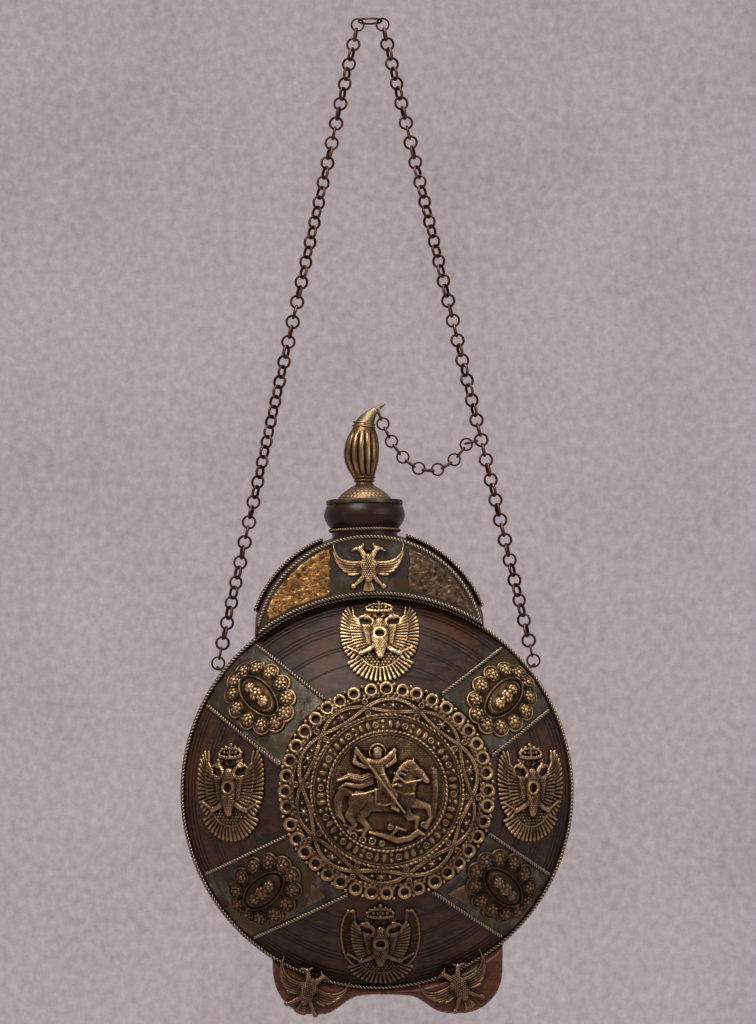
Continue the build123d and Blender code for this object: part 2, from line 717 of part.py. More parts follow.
def boss(x, z, angle):
    """A scalloped oval with a ring of rosettes round a raised core."""
    base = dome_radius + 2 * metal_gap + plate_thickness
    face = base + boss_thickness
    outline = Ellipse(boss_rim_share * boss_length / 2, boss_rim_share * boss_width / 2)
    places = []
    for index in range(rosette_count):
        turn = 2 * math.pi * index / rosette_count
        reach_x = (boss_length / 2 - rosette_radius) * math.cos(turn)
        reach_y = (boss_width / 2 - rosette_radius) * math.sin(turn)
        places.append((reach_x, reach_y))
        outline += Pos(reach_x, reach_y) * Circle(rosette_radius)
    rosettes = []
    for place_x, place_y in places:
        rosettes.append(Pos(*on_face(place_x, place_y, face - rosette_sink)) * Sphere(rosette_radius - metal_gap))
    core = [Pos(0, 0, face - boss_core_sink) * Rot(0, 90, 0) * Cylinder(
        boss_waist_share * boss_core_radius, 2 * boss_core_half_length
    )]
    for end in (-boss_core_half_length, boss_core_half_length):
        core.append(Pos(end, 0, face - boss_core_sink) * Sphere(boss_core_radius))
    cast = shell_piece(outline, 2 * metal_gap + plate_thickness, boss_thickness, [rosettes, core])
    return cap_frame(x, z).location * Rot(0, 0, angle) * cast


def crowned_eagle(x, z):
    """One pierced and crowned double-headed eagle, bent to the dome."""
    face = eagle_face(crowned_eagle_shares, eagle_width, eagle_height, True)
    return cap_frame(x, z).location * shell_piece(face, metal_gap, eagle_thickness)


def small_eagle(x, z, angle, back_y):
    """One flat uncrowned eagle, its back at a given distance in front of the middle plane."""
    face = eagle_face(small_eagle_shares, small_eagle_width, small_eagle_height, False)
    face = Pos(x, z) * Rot(0, 0, angle) * face
    return y_slab(face, -back_y - metal_gap - small_eagle_thickness, small_eagle_thickness)


def strand_across():
    """The unit vector square to the right strand, away from the bottle."""
    along = (strand_point(1, strand_length) - strand_point(1, 0)).normalized()
    return Vector(-along.Z, 0, along.X)


def catch_centre():
    """The middle of the ring that hooks the tether's end to one ring of the right strand."""
    join_centre = strand_point(1, first_ring_offset + tether_join_ring * chain_pitch)
    hold = chain_ring_radius - 2 * chain_wire_radius - chain_play / 2
    return join_centre - strand_across() * (chain_ring_radius + hold)


def tether_line():
    """The line that the tether hangs in, from the beak's eye to the middle of its last ring."""
    eye_point = Vector(neck_offset_x + eye_offset_x, 0, beak_z + eye_height - body_drop)
    held_at = catch_centre() - strand_across() * chain_ring_radius
    end_point = held_at + Vector(catch_slack, 0, -catch_drop)
    length = tether_ring_radius + (tether_ring_count - 1) * tether_pitch
    return end_point, catenary_points(eye_point, end_point, length, 400)


def chord_steps(points, lengths):
    """Points of a line, each at a straight distance from the one before it."""
    picked = [points[0]]
    index = 0
    for length in lengths:
        while index < len(points) - 1 and (points[index] - picked[-1]).length < length:
            index += 1
        before = points[index - 1]
        after = points[index]
        near = (before - picked[-1]).length
        far = (after - picked[-1]).length
        picked.append(before + (after - before) * ((length - near) / (far - near)))
    return picked


def build_tether():
    """Make the tether's spans of rings and list the points that they hinge at."""
    end_point, line = tether_line()
    steps = [tether_ring_radius + tether_pitch / 2] + [tether_pitch] * (tether_ring_count - 2)
    contacts = chord_steps(line, steps)
    spans = []
    hinges = []
    for index in range(tether_ring_count):
        start = contacts[index]
        last = index == tether_ring_count - 1
        along = ((end_point if last else contacts[index + 1]) - start).normalized()
        half = tether_ring_radius if index == 0 else tether_pitch / 2
        if index in tether_span_starts:
            hinges.append(start)
            spans.append([])
        spans[-1].append(ring(tether_ring_radius, tether_wire_radius, start + along * half, along, index % 2 == 0))
    return spans, hinges


def build_chains():
    """The parts that hang in the row's own frame, above and beside the bottle."""
    keep("hanging_ring", Torus(hanging_ring_radius, hanging_wire_radius), None)
    keep("chain_left", strand(-1), None)
    keep("chain_right", strand(1), None)
    catch = ring(chain_ring_radius, chain_wire_radius, catch_centre(), strand_across(), True)
    keep("tether_catch_ring", catch, None)
    spans, hinges = build_tether()
    keep("tether_eye_ring", spans[0][0], None)
    for number, rings in enumerate(spans[1:], 1):
        keep(f"tether_span_{number}", Compound(children=rings), None)
    return hinges


def build_bottle():
    """The wooden pieces and the metal edge fittings."""
    keep("bowl_front", bowl_front())
    keep("bowl_back", bowl_back())
    keep("rim_strip", rim_strip())
    keep("rim_wire_front", rim_wire())
    keep("rim_wire_back", back_of(rim_wire()))
    keep("shoulder_yoke", shoulder_yoke())
    plate = shoulder_plate()
    keep("shoulder_plate_front", plate)
    keep("shoulder_plate_back", back_of(plate))
    wires = shoulder_wires()
    keep("shoulder_wires_front", wires)
    keep("shoulder_wires_back", back_of(wires))
    keep("shoulder_band_left", side_band(-1))
    keep("shoulder_band_right", side_band(1))
    keep("neck_collar", neck_collar())
    keep("neck_wire", neck_wire())
    keep("lug_left", lug(-1))
    keep("lug_right", lug(1))
    keep("foot_left", foot(-1, left_foot_outer, left_foot_inner, foot_waist_left))
    keep("foot_right", foot(1, right_foot_outer, right_foot_inner, foot_waist_right))


def build_stopper():
    """The stopper's own pieces."""
    keep("stopper_plug", stopper_plug())
    keep("stopper_flange", stopper_flange())
    keep("stopper_dome", stopper_dome())
    keep("stopper_grip", stopper_grip())
    keep("stopper_cap", stopper_cap())
    keep("stopper_spindle", stopper_spindle())


def build_ornaments():
    """The cast and sheet-metal ornaments of both faces."""
    disc = medallion()
    keep("medallion_front", disc)
    keep("medallion_back", back_of(disc))
    plates, wires, bosses, eagles = [], [], [], []
    for corner, (angle, direction, boss_x, boss_z, boss_angle) in plate_places.items():
        plates.append(corner_plate(angle, direction))
        keep(f"corner_plate_{corner}", plates[-1])
        wires += [plate_wire(angle, direction, side) for side in (-1, 1)]
        bosses.append(boss(boss_x, boss_z, boss_angle))
        keep(f"boss_{corner}", bosses[-1])
    for place, (x, z) in eagle_places.items():
        eagles.append(crowned_eagle(x, z))
        keep(f"eagle_{place}", eagles[-1])
    keep("plate_wires_front", Compound(children=wires))
    keep("plate_wires_back", Compound(children=[back_of(wire) for wire in wires]))
    keep("corner_plates_back", Compound(children=[back_of(plate) for plate in plates]))
    keep("bosses_back", Compound(children=[back_of(item) for item in bosses]))
    keep("eagles_back", Compound(children=[back_of(item) for item in eagles]))
    shoulder_back = yoke_half_width + metal_gap + plate_thickness
    shoulder_eagle = small_eagle(shoulder_eagle_x, shoulder_eagle_z, 0, shoulder_back)
    keep("shoulder_eagle_front", shoulder_eagle)
    keep("shoulder_eagle_back", back_of(shoulder_eagle))
    foot_eagles = [
        small_eagle(*left_foot_eagle, foot_half_width),
        small_eagle(*right_foot_eagle, foot_half_width),
    ]
    keep("foot_eagle_left", foot_eagles[0])
    keep("foot_eagle_right", foot_eagles[1])
    keep("foot_eagles_back", Compound(children=[back_of(item) for item in foot_eagles]))


hinges = build_chains()
build_bottle()
build_stopper()
build_ornaments()
os.makedirs("parts", exist_ok=True)
for name, shape in NODES.items():
    export_step(shape, f"parts/{name}.step")
print("body_drop", body_drop, "lug", lug_x, -lug_drop)
print("mouth", mouth_z - body_drop, "catch", catch_centre())
for hinge in hinges:
    print("tether hinge", hinge)
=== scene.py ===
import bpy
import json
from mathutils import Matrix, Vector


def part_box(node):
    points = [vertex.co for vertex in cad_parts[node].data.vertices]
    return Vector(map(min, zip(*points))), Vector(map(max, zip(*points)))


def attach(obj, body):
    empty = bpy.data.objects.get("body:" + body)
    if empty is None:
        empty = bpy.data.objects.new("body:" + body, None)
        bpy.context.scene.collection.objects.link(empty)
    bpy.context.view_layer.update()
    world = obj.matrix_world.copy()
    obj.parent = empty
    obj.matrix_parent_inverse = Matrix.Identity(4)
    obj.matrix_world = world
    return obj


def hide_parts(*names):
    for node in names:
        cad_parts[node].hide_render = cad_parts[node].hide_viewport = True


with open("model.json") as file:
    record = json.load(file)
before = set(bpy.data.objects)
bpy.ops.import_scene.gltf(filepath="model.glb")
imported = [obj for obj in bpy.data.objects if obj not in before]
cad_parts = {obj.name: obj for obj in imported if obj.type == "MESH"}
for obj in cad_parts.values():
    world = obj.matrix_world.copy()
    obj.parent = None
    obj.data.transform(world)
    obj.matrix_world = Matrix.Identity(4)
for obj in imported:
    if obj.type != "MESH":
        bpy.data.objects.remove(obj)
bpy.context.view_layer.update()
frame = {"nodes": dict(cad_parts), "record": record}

import copy
import json
import math

import bpy
import numpy as np
from mathutils import Matrix, Vector

nodes = frame["nodes"]
scene = bpy.context.scene

# Pieces are drawn in millimetres from the flask's centre and turned into metres when they are made.
MM = 0.001
strip_low, strip_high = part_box("rim_strip")
CENTRE = np.array([0.0, 0.0, (strip_low.z + strip_high.z) / 2 / MM])

# Sizes of the CAD part that the pieces follow: the ball of the domes and its middle, the rim's wires,
# the corner plates, the medallion, the shoulder, the neck and its wire, the hanging ring, the holes of
# the lugs, the rings of both chains, the wires' radius, the castings' height over the dome, the grooves
DOME_R, DOME_Y = 137.75, 87.75
RIM_WIRE_R, RIM_WIRE_Y = 96.0, 12.95
BAND_WIDTH, BAND_RIM, PLATE_RIM = 36.2, 94.0, 93.9
MEDALLION, MEDALLION_R = np.array([5.0, 1.0]), 52.1
YOKE_X, YOKE_Z, YOKE_FACE = -3.0, 69.0, 17.7
NECK_X, NECK_WIRE_R, NECK_WIRE_Z = -5.0, 17.2, 129.45
HANGING_R, LUG_X, LUG_Z = 5.9, 79.008, 61.95
LINK_R, TETHER_LINK_R = 3.12, 2.95
WIRE = 1.08
SEAT = 0.55
TURNED_LINES = (93.0, 91.2, 89.6, 83.6, 82.0, 80.2, 72.4, 71.0, 63.0)

rng = np.random.default_rng(7)


# Materials
def new_material(name):
    mat = bpy.data.materials.new(name)
    mat.use_nodes = True
    tree = mat.node_tree
    tree.nodes.clear()
    out = tree.nodes.new("ShaderNodeOutputMaterial")
    shader = tree.nodes.new("ShaderNodeBsdfPrincipled")
    tree.links.new(shader.outputs[0], out.inputs[0])
    return mat, tree, shader


def node(tree, kind, **values):
    """A new node; values whose names start with in_ go to its input sockets."""
    n = tree.nodes.new(kind)
    for key, value in values.items():
        if key.startswith("in_"):
            n.inputs[key[3:].replace("_", " ")].default_value = value
        else:
            setattr(n, key, value)
    return n


def connect(tree, socket, value):
    """Link a socket or set it to a number or a colour."""
    if isinstance(value, (tuple, list)):
        socket.default_value = tuple(value) + (1,)
    elif isinstance(value, (int, float)):
        socket.default_value = value
    else:
        tree.links.new(value, socket)


def coordinates(tree, scale=(1, 1, 1)):
    """Object coordinates in millimetres, measured from the flask's centre."""
    coord = node(tree, "ShaderNodeTexCoord")
    place = node(tree, "ShaderNodeMapping", vector_type="POINT")
    place.inputs["Location"].default_value = (0, 0, -CENTRE[2] * scale[2])
    place.inputs["Scale"].default_value = tuple(s / MM for s in scale)
    tree.links.new(coord.outputs["Object"], place.inputs["Vector"])
    return place.outputs[0]


def noise(tree, vector, scale, detail=4.0, rough=0.6, distortion=0.0):
    n = node(tree, "ShaderNodeTexNoise", in_Scale=scale, in_Detail=detail,
             in_Roughness=rough, in_Distortion=distortion)
    tree.links.new(vector, n.inputs["Vector"])
    return n.outputs["Fac"]


def ramp(tree, fac, *stops):
    """A blend through (position, value) stops, where a value is a colour or one number."""
    n = node(tree, "ShaderNodeValToRGB")
    while len(n.color_ramp.elements) < len(stops):
        n.color_ramp.elements.new(0.5)
    for element, (position, value) in zip(n.color_ramp.elements, stops):
        element.position = position
        element.color = (tuple(value) if isinstance(value, tuple) else (value,) * 3) + (1,)
    tree.links.new(fac, n.inputs[0])
    return n.outputs[0]


def calc(tree, operation, a, b=0.0, clamp=False):
    n = node(tree, "ShaderNodeMath", operation=operation, use_clamp=clamp)
    connect(tree, n.inputs[0], a)
    connect(tree, n.inputs[1], b)
    return n.outputs[0]


def weighed(tree, *terms):
    """The sum of values, each times its weight."""
    total, *rest = [calc(tree, "MULTIPLY", value, weight) for value, weight in terms]
    for part in rest:
        total = calc(tree, "ADD", total, part)
    return total


def swing(tree, value, amount):
    """A noise turned into a number that goes up and down round zero."""
    return calc(tree, "MULTIPLY", calc(tree, "SUBTRACT", value, 0.5), amount)


def mix(tree, fac, a, b):
    n = node(tree, "ShaderNodeMix", data_type="RGBA")
    for number, value in ((0, fac), (6, a), (7, b)):
        connect(tree, n.inputs[number], value)
    return n.outputs[2]


def bump(tree, shader, height, strength, distance):
    n = node(tree, "ShaderNodeBump", in_Strength=strength, in_Distance=distance)
    tree.links.new(height, n.inputs["Height"])
    tree.links.new(n.outputs[0], shader.inputs["Normal"])


def rgb(r, g, b):
    """A colour given as it looks on a screen, from 0 to 255."""
    shares = [c / 255 for c in (r, g, b)]
    return tuple(c / 12.92 if c <= 0.04045 else ((c + 0.055) / 1.055) ** 2.4 for c in shares)


def cast_metal(name, colours, rough, grain, patina, metallic=1.0, carried=False):
    """Old cast metal: dark in the hollows, rubbed bright on what stands proud.

    The attribute rub says how far a point stands proud. A carried-over CAD node hasn't got it.
    """
    mat, tree, shader = new_material(name)
    shader.inputs["Metallic"].default_value = metallic
    vec = coordinates(tree)
    broad = noise(tree, vec, 0.11, 5)
    fine = noise(tree, vec, 1.6, 6, 0.7)
    proud = 0.5 if carried else node(tree, "ShaderNodeAttribute", attribute_name="rub").outputs["Fac"]
    worn = calc(tree, "ADD", proud, swing(tree, broad, patina))
    worn = calc(tree, "ADD", worn, swing(tree, fine, 0.55), True)
    hollow, middle, high = (rgb(*colour) for colour in colours)
    base = ramp(tree, worn, (0.16, hollow), (0.5, middle), (0.86, high))
    tree.links.new(base, shader.inputs["Base Color"])
    tree.links.new(ramp(tree, worn, (0.1, rough[1]), (0.9, rough[0])), shader.inputs["Roughness"])
    bump(tree, shader, fine, 0.35, 0.00012 * grain)
    return mat


def sheet_metal(name, colours, tint=None):
    """Old dull sheet: blotches of tarnish, fine dents and scratches."""
    mat, tree, shader = new_material(name)
    shader.inputs["Metallic"].default_value = 1.0
    vec = coordinates(tree)
    blotch = noise(tree, vec, 0.10, 6, 0.65, 0.6)
    speck = noise(tree, vec, 1.1, 6, 0.75)
    scratch = noise(tree, coordinates(tree, (0.25, 1.0, 3.0)), 0.8, 3, 0.6)
    total = weighed(tree, (blotch, 0.65), (speck, 0.35))
    dark, middle, light = (rgb(*colour) for colour in colours)
    base = ramp(tree, total, (0.32, dark), (0.5, middle), (0.66, light))
    if tint:
        patch = ramp(tree, noise(tree, vec, 0.055, 3, 0.5, 0.3), (0.5, 0.0), (0.62, 1.0))
        base = mix(tree, patch, base, rgb(*tint))
    tree.links.new(base, shader.inputs["Base Color"])
    tree.links.new(ramp(tree, total, (0.3, 0.62), (0.7, 0.34)), shader.inputs["Roughness"])
    bump(tree, shader, calc(tree, "ADD", speck, calc(tree, "MULTIPLY", scratch, 0.5)), 0.4, 0.0002)
    return mat


def turning_marks(tree, vec, base, height, dark):
    """Fine marks round the lathe's axis and the dark lines cut at TURNED_LINES."""
    split = node(tree, "ShaderNodeSeparateXYZ")
    tree.links.new(vec, split.inputs[0])
    squares = [calc(tree, "MULTIPLY", split.outputs[axis], split.outputs[axis]) for axis in (0, 2)]
    radius = calc(tree, "SQRT", calc(tree, "ADD", *squares))
    join = node(tree, "ShaderNodeCombineXYZ")
    tree.links.new(radius, join.inputs[0])
    lathe_noise = noise(tree, join.outputs[0], 1.3, 6, 0.7)
    height = calc(tree, "ADD", height, calc(tree, "MULTIPLY", lathe_noise, 0.9))
    cut = 0.0
    for ring in TURNED_LINES:
        away = calc(tree, "ABSOLUTE", calc(tree, "SUBTRACT", radius, ring))
        line = calc(tree, "SUBTRACT", 1.0, calc(tree, "DIVIDE", away, 0.55), True)
        cut = calc(tree, "MAXIMUM", cut, line)
    base = mix(tree, calc(tree, "MULTIPLY", cut, 0.8), base, tuple(0.35 * c for c in dark))
    return base, calc(tree, "SUBTRACT", height, calc(tree, "MULTIPLY", cut, 2.5))


def turned_wood(name, colours, rough, coat, turned_lines=False, grain_axis=0):
    """Waxed dark wood with long grain, pores, blotches of wear and, on the bowls, turning marks."""
    mat, tree, shader = new_material(name)
    shader.inputs["Coat Weight"].default_value = coat
    shader.inputs["Coat Roughness"].default_value = 0.28
    shader.inputs["Specular IOR Level"].default_value = 0.22
    dark, middle, light, reddish = (rgb(*colour) for colour in colours)
    vec = coordinates(tree)
    stretch = [1.0, 1.0, 1.0]
    stretch[grain_axis] = 0.09
    along_grain = coordinates(tree, tuple(stretch))
    grain = noise(tree, along_grain, 0.55, 8, 0.62, 0.5)
    pores = noise(tree, along_grain, 2.6, 4, 0.7)
    blotch = noise(tree, vec, 0.028, 4, 0.55, 0.4)
    wear = noise(tree, vec, 0.30, 8, 0.75)
    tone = weighed(tree, (grain, 0.6), (wear, 0.4))
    base = ramp(tree, tone, (0.34, dark), (0.5, middle), (0.68, light))
    base = mix(tree, ramp(tree, blotch, (0.46, 0.0), (0.66, 0.75)), base, reddish)
    base = mix(tree, ramp(tree, pores, (0.30, 0.55), (0.42, 0.0)), base, dark)
    tree.links.new(ramp(tree, wear, (0.3, rough[0]), (0.7, rough[1])), shader.inputs["Roughness"])
    height = weighed(tree, (grain, 0.5), (pores, 0.25))
    if turned_lines:
        base, height = turning_marks(tree, vec, base, height, dark)
    tree.links.new(base, shader.inputs["Base Color"])
    bump(tree, shader, height, 0.5, 0.00022)
    return mat


# Woods: dark, middle, light and reddish tones, the roughness's range, the coat, then whether there are
# turned lines and which axis the grain follows
WOODS = {
    "dark_wood": (((24, 16, 12), (50, 34, 26), (76, 58, 47), (82, 43, 25)), (0.38, 0.58), 0.06, True),
    "collar_wood": (((18, 10, 7), (38, 22, 15), (62, 38, 27), (50, 24, 14)), (0.26, 0.42), 0.14),
    "foot_wood": (((40, 20, 10), (76, 42, 23), (112, 70, 40), (98, 50, 22)), (0.26, 0.42), 0.2),
    "plug_cork": (((120, 88, 60), (158, 122, 84), (182, 150, 110), (150, 110, 74)), (0.7, 0.85), 0.0,
                  False, 2),
}
# Cast metals: tones of the hollows, the middle and the high places, the roughness's range, grain and
# patina, then how metallic it is and whether a CAD node carries it
IRON = (((36, 22, 19), (78, 50, 42), (140, 100, 84)), (0.34, 0.66), 1.0, 0.9)
CASTINGS = {
    "iron_chain": IRON,
    "iron_plain": IRON + (1.0, True),
    "horn_plain": (((70, 58, 44), (142, 124, 98), (190, 172, 144)), (0.30, 0.52), 0.7, 0.4, 1.0, True),
    "twisted_wire": (((14, 11, 10), (52, 44, 38), (150, 134, 114)), (0.32, 0.60), 1.0, 0.5),
    # The next three are copies of one brass with painted light from above: the first painted lit for the top
    # pieces, the second painted half-shade for the sides and the backs, the third painted shade for the lower
    # pieces.
    "pale_brass": (((32, 23, 17), (116, 89, 60), (212, 182, 136)), (0.28, 0.62), 1.0, 0.5),
    "brass_painted_half_shade": (((29, 21, 15), (92, 71, 49), (168, 138, 100)), (0.32, 0.64), 1.0, 0.55),
    "brass_painted_shade": (((27, 20, 16), (76, 58, 43), (126, 101, 76)), (0.34, 0.64), 1.0, 0.6),
    "old_brass": (((38, 29, 21), (98, 77, 55), (184, 154, 112)), (0.30, 0.62), 1.0, 0.55),
    "boss_brass": (((24, 17, 12), (82, 63, 43), (210, 174, 122)), (0.28, 0.60), 1.0, 0.5),
    "dome_brass": (((44, 35, 26), (124, 101, 74), (184, 160, 124)), (0.34, 0.60), 1.0, 0.5),
    "band_metal": (((34, 32, 28), (86, 80, 66), (140, 128, 98)), (0.34, 0.62), 1.0, 0.7),
    "gilt": (((34, 24, 17), (98, 74, 50), (186, 152, 108)), (0.28, 0.52), 0.8, 0.7),
    # The next two are copies of one gold: the first is painted lit, as if the left shoulder patch caught the
    # light; the second is the plainer, darker gold.
    "gold_painted_lit": (((80, 54, 30), (156, 114, 64), (216, 170, 104)), (0.36, 0.60), 0.7, 0.8, 0.85),
    "dull_gold": (((60, 46, 36), (102, 80, 60), (146, 120, 90)), (0.40, 0.64), 0.7, 0.9, 0.85),
}
# Sheets: dark, middle and light tones and the tone of the tarnish
SHEETS = {
    "pewter": (((38, 33, 29), (82, 74, 67), (126, 118, 109)), (84, 70, 48)),
    "rim_metal": (((40, 38, 36), (82, 78, 72), (120, 114, 102)), (112, 92, 56)),
    "flange_metal": (((48, 42, 36), (82, 74, 64), (120, 110, 94)),),
}
M = {}
for make, rows in ((turned_wood, WOODS), (cast_metal, CASTINGS), (sheet_metal, SHEETS)):
    for name, row in rows.items():
        M[name] = make(name, *row)


# Meshes. A part is its vertices, its lists of faces and how rubbed each vertex is.
def make_piece(name, parts, material, replaced=(), body="flask"):
    """Join parts into one piece that rides on a body and takes the place of CAD nodes."""
    loops, starts, totals = [], [], []
    vertex_count = loop_count = 0
    for verts, face_sets, _ in parts:
        for faces in face_sets:
            faces = faces + vertex_count
            loops.append(faces.ravel())
            starts.append(loop_count + np.arange(len(faces)) * faces.shape[1])
            totals.append(np.full(len(faces), faces.shape[1]))
            loop_count += faces.size
        vertex_count += len(verts)
    verts = (np.concatenate([part[0] for part in parts]) + CENTRE) * MM
    loops, starts, totals = (np.concatenate(a).astype(np.int32) for a in (loops, starts, totals))
    mesh = bpy.data.meshes.new(name)
    mesh.vertices.add(len(verts))
    mesh.vertices.foreach_set("co", verts.astype(np.float32).ravel())
    mesh.loops.add(len(loops))
    mesh.loops.foreach_set("vertex_index", loops)
    mesh.polygons.add(len(starts))
    mesh.polygons.foreach_set("loop_start", starts)
    mesh.polygons.foreach_set("loop_total", totals)
    mesh.polygons.foreach_set("use_smooth", np.full(len(starts), True))
    attribute = mesh.attributes.new("rub", "FLOAT", "POINT")
    attribute.data.foreach_set("value", np.concatenate([part[2] for part in parts]).astype(np.float32))
    mesh.update(calc_edges=True)
    mesh.validate()
    mesh.materials.append(M[material])
    obj = bpy.data.objects.new(name, mesh)
    scene.collection.objects.link(obj)
    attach(obj, body)
    if replaced:
        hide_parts(*replaced)


def mirrored(parts):
    """The same parts on the back of the flask."""
    return [(verts * np.array([1, -1, 1]), [f[:, ::-1] for f in faces], rub) for verts, faces, rub in parts]


def both_faces(name, parts, material, replaced=None):
    """A piece on the front and the same on the back, each in place of its own CAD node, if it has one."""
    for face, face_parts in (("front", parts), ("back", mirrored(parts))):
        make_piece(f"{name}_{face}", face_parts, material, (f"{replaced}_{face}",) if replaced else ())


def ring_quads(count, sides, closed):
    """Quads between the rings of a tube; a closed tube's last ring meets its first."""
    i, j = np.divmod(np.arange((count if closed else count - 1) * sides), sides)
    k, n = (j + 1) % sides, (i + 1) % count
    return np.stack([i * sides + j, i * sides + k, n * sides + k, n * sides + j], 1)


def end_fans(count, sides):
    """Fans that close a tube's ends, about two vertices that come after its rings."""
    j = np.arange(sides)
    k, last, low = (j + 1) % sides, (count - 1) * sides, count * sides
    return np.concatenate([np.stack([np.full(sides, low), k, j], 1),
                           np.stack([np.full(sides, low + 1), last + j, last + k], 1)])


def tangents(path, closed):
    """Unit directions along a path."""
    way = np.roll(path, -1, 0) - np.roll(path, 1, 0) if closed else np.gradient(path, axis=0)
    return way / np.linalg.norm(way, axis=1)[:, None]


def tube(path, radius, sides, closed):
    """A round bar along points, its ends closed with fans."""
    count = len(path)
    tangent = tangents(path, closed)
    normal = np.zeros_like(path)
    guess = np.array([1.0, 0.0, 0.0] if abs(tangent[0][1]) > 0.9 else [0.0, 1.0, 0.0])
    last = guess - tangent[0] * (guess @ tangent[0])
    for i in range(count):
        last = last - tangent[i] * (last @ tangent[i])
        last /= np.linalg.norm(last)
        normal[i] = last
    side = np.cross(tangent, normal)
    if closed:
        end = normal[-1] - tangent[0] * (normal[-1] @ tangent[0])
        miss = math.atan2(end @ side[0], end @ normal[0])
        angle = -miss * np.arange(count) / count
        normal = normal * np.cos(angle)[:, None] + side * np.sin(angle)[:, None]
        side = np.cross(tangent, normal)
    phi = np.linspace(0, 2 * np.pi, sides, endpoint=False)
    across = np.cos(phi)[None, :, None] * normal[:, None, :] + np.sin(phi)[None, :, None] * side[:, None, :]
    verts = (path[:, None, :] + radius * across).reshape(-1, 3)
    faces = [ring_quads(count, sides, closed)]
    if not closed:
        verts = np.vstack([verts, path[0], path[-1]])
        faces.append(end_fans(count, sides))
    return verts, faces


def resample(path, spacing, closed):
    """The same path with evenly spaced points, and its length."""
    if closed:
        path = np.vstack([path, path[:1]])
    step = np.linalg.norm(np.diff(path, axis=0), axis=1)
    along = np.concatenate([[0], np.cumsum(step)])
    count = max(4, int(round(along[-1] / spacing)))
    at = np.linspace(0, along[-1], count + 1)
    out = np.stack([np.interp(at, along, path[:, a]) for a in range(3)], 1)
    return (out[:-1] if closed else out), along[-1]


def twisted(path, radius, pitch, closed=False, lean=(0, 1, 0)):
    """Two round strands twisted together along a path. Radius is the twist's outer radius."""
    strand_sides, steps_per_turn = 7, 9
    points, length = resample(path, pitch / steps_per_turn, closed)
    count = len(points)
    tangent = tangents(points, closed)
    lean = np.asarray(lean, float)
    normal = lean - tangent * (tangent @ lean)[:, None]
    normal /= np.linalg.norm(normal, axis=1)[:, None]
    side = np.cross(tangent, normal)
    turns = max(1, round(length / pitch))
    angle = 2 * np.pi * turns * np.arange(count) / (count if closed else count - 1)
    parts = []
    for start in (0, np.pi):
        out = np.cos(angle + start)[:, None] * normal + np.sin(angle + start)[:, None] * side
        verts, faces = tube(points + radius * 0.48 * out, radius * 0.52, strand_sides, closed)
        ring_of = np.minimum(np.arange(len(verts)) // strand_sides, count - 1)
        away = np.linalg.norm(verts - points[ring_of], axis=1)
        parts.append((verts, faces, np.clip((away / radius - 0.45) / 0.5, 0, 1)))
    return parts


def torus(centre, axis, radius, wire, along_count, sides, flat=1.0):
    """One closed ring of wire; flat is how much wider the wire is along the axis."""
    axis = np.asarray(axis, float)
    axis = axis / np.linalg.norm(axis)
    u = np.cross(axis, [0.3, 0.2, 0.93])
    u /= np.linalg.norm(u)
    w = np.cross(axis, u)
    t = np.linspace(0, 2 * np.pi, along_count, endpoint=False)
    phi = np.linspace(0, 2 * np.pi, sides, endpoint=False)
    out = np.cos(t)[:, None] * u + np.sin(t)[:, None] * w
    ring = (radius + wire * np.cos(phi))[None, :, None] * out[:, None, :]
    ring = ring + (wire * flat * np.sin(phi))[None, :, None] * axis
    quads = ring_quads(along_count, sides, True)[:, [0, 3, 2, 1]]
    rub = 0.42 + 0.22 * np.cos(phi)
    return ring.reshape(-1, 3) + np.asarray(centre, float), [quads], np.tile(rub, along_count)


# Reliefs
def rounded(d, soft):
    """A quarter round that rises from 0 at an outline to 1 at a depth of soft inside it."""
    k = np.clip(-d / soft, 0, 1)
    return np.sqrt(1 - (1 - k) ** 2)


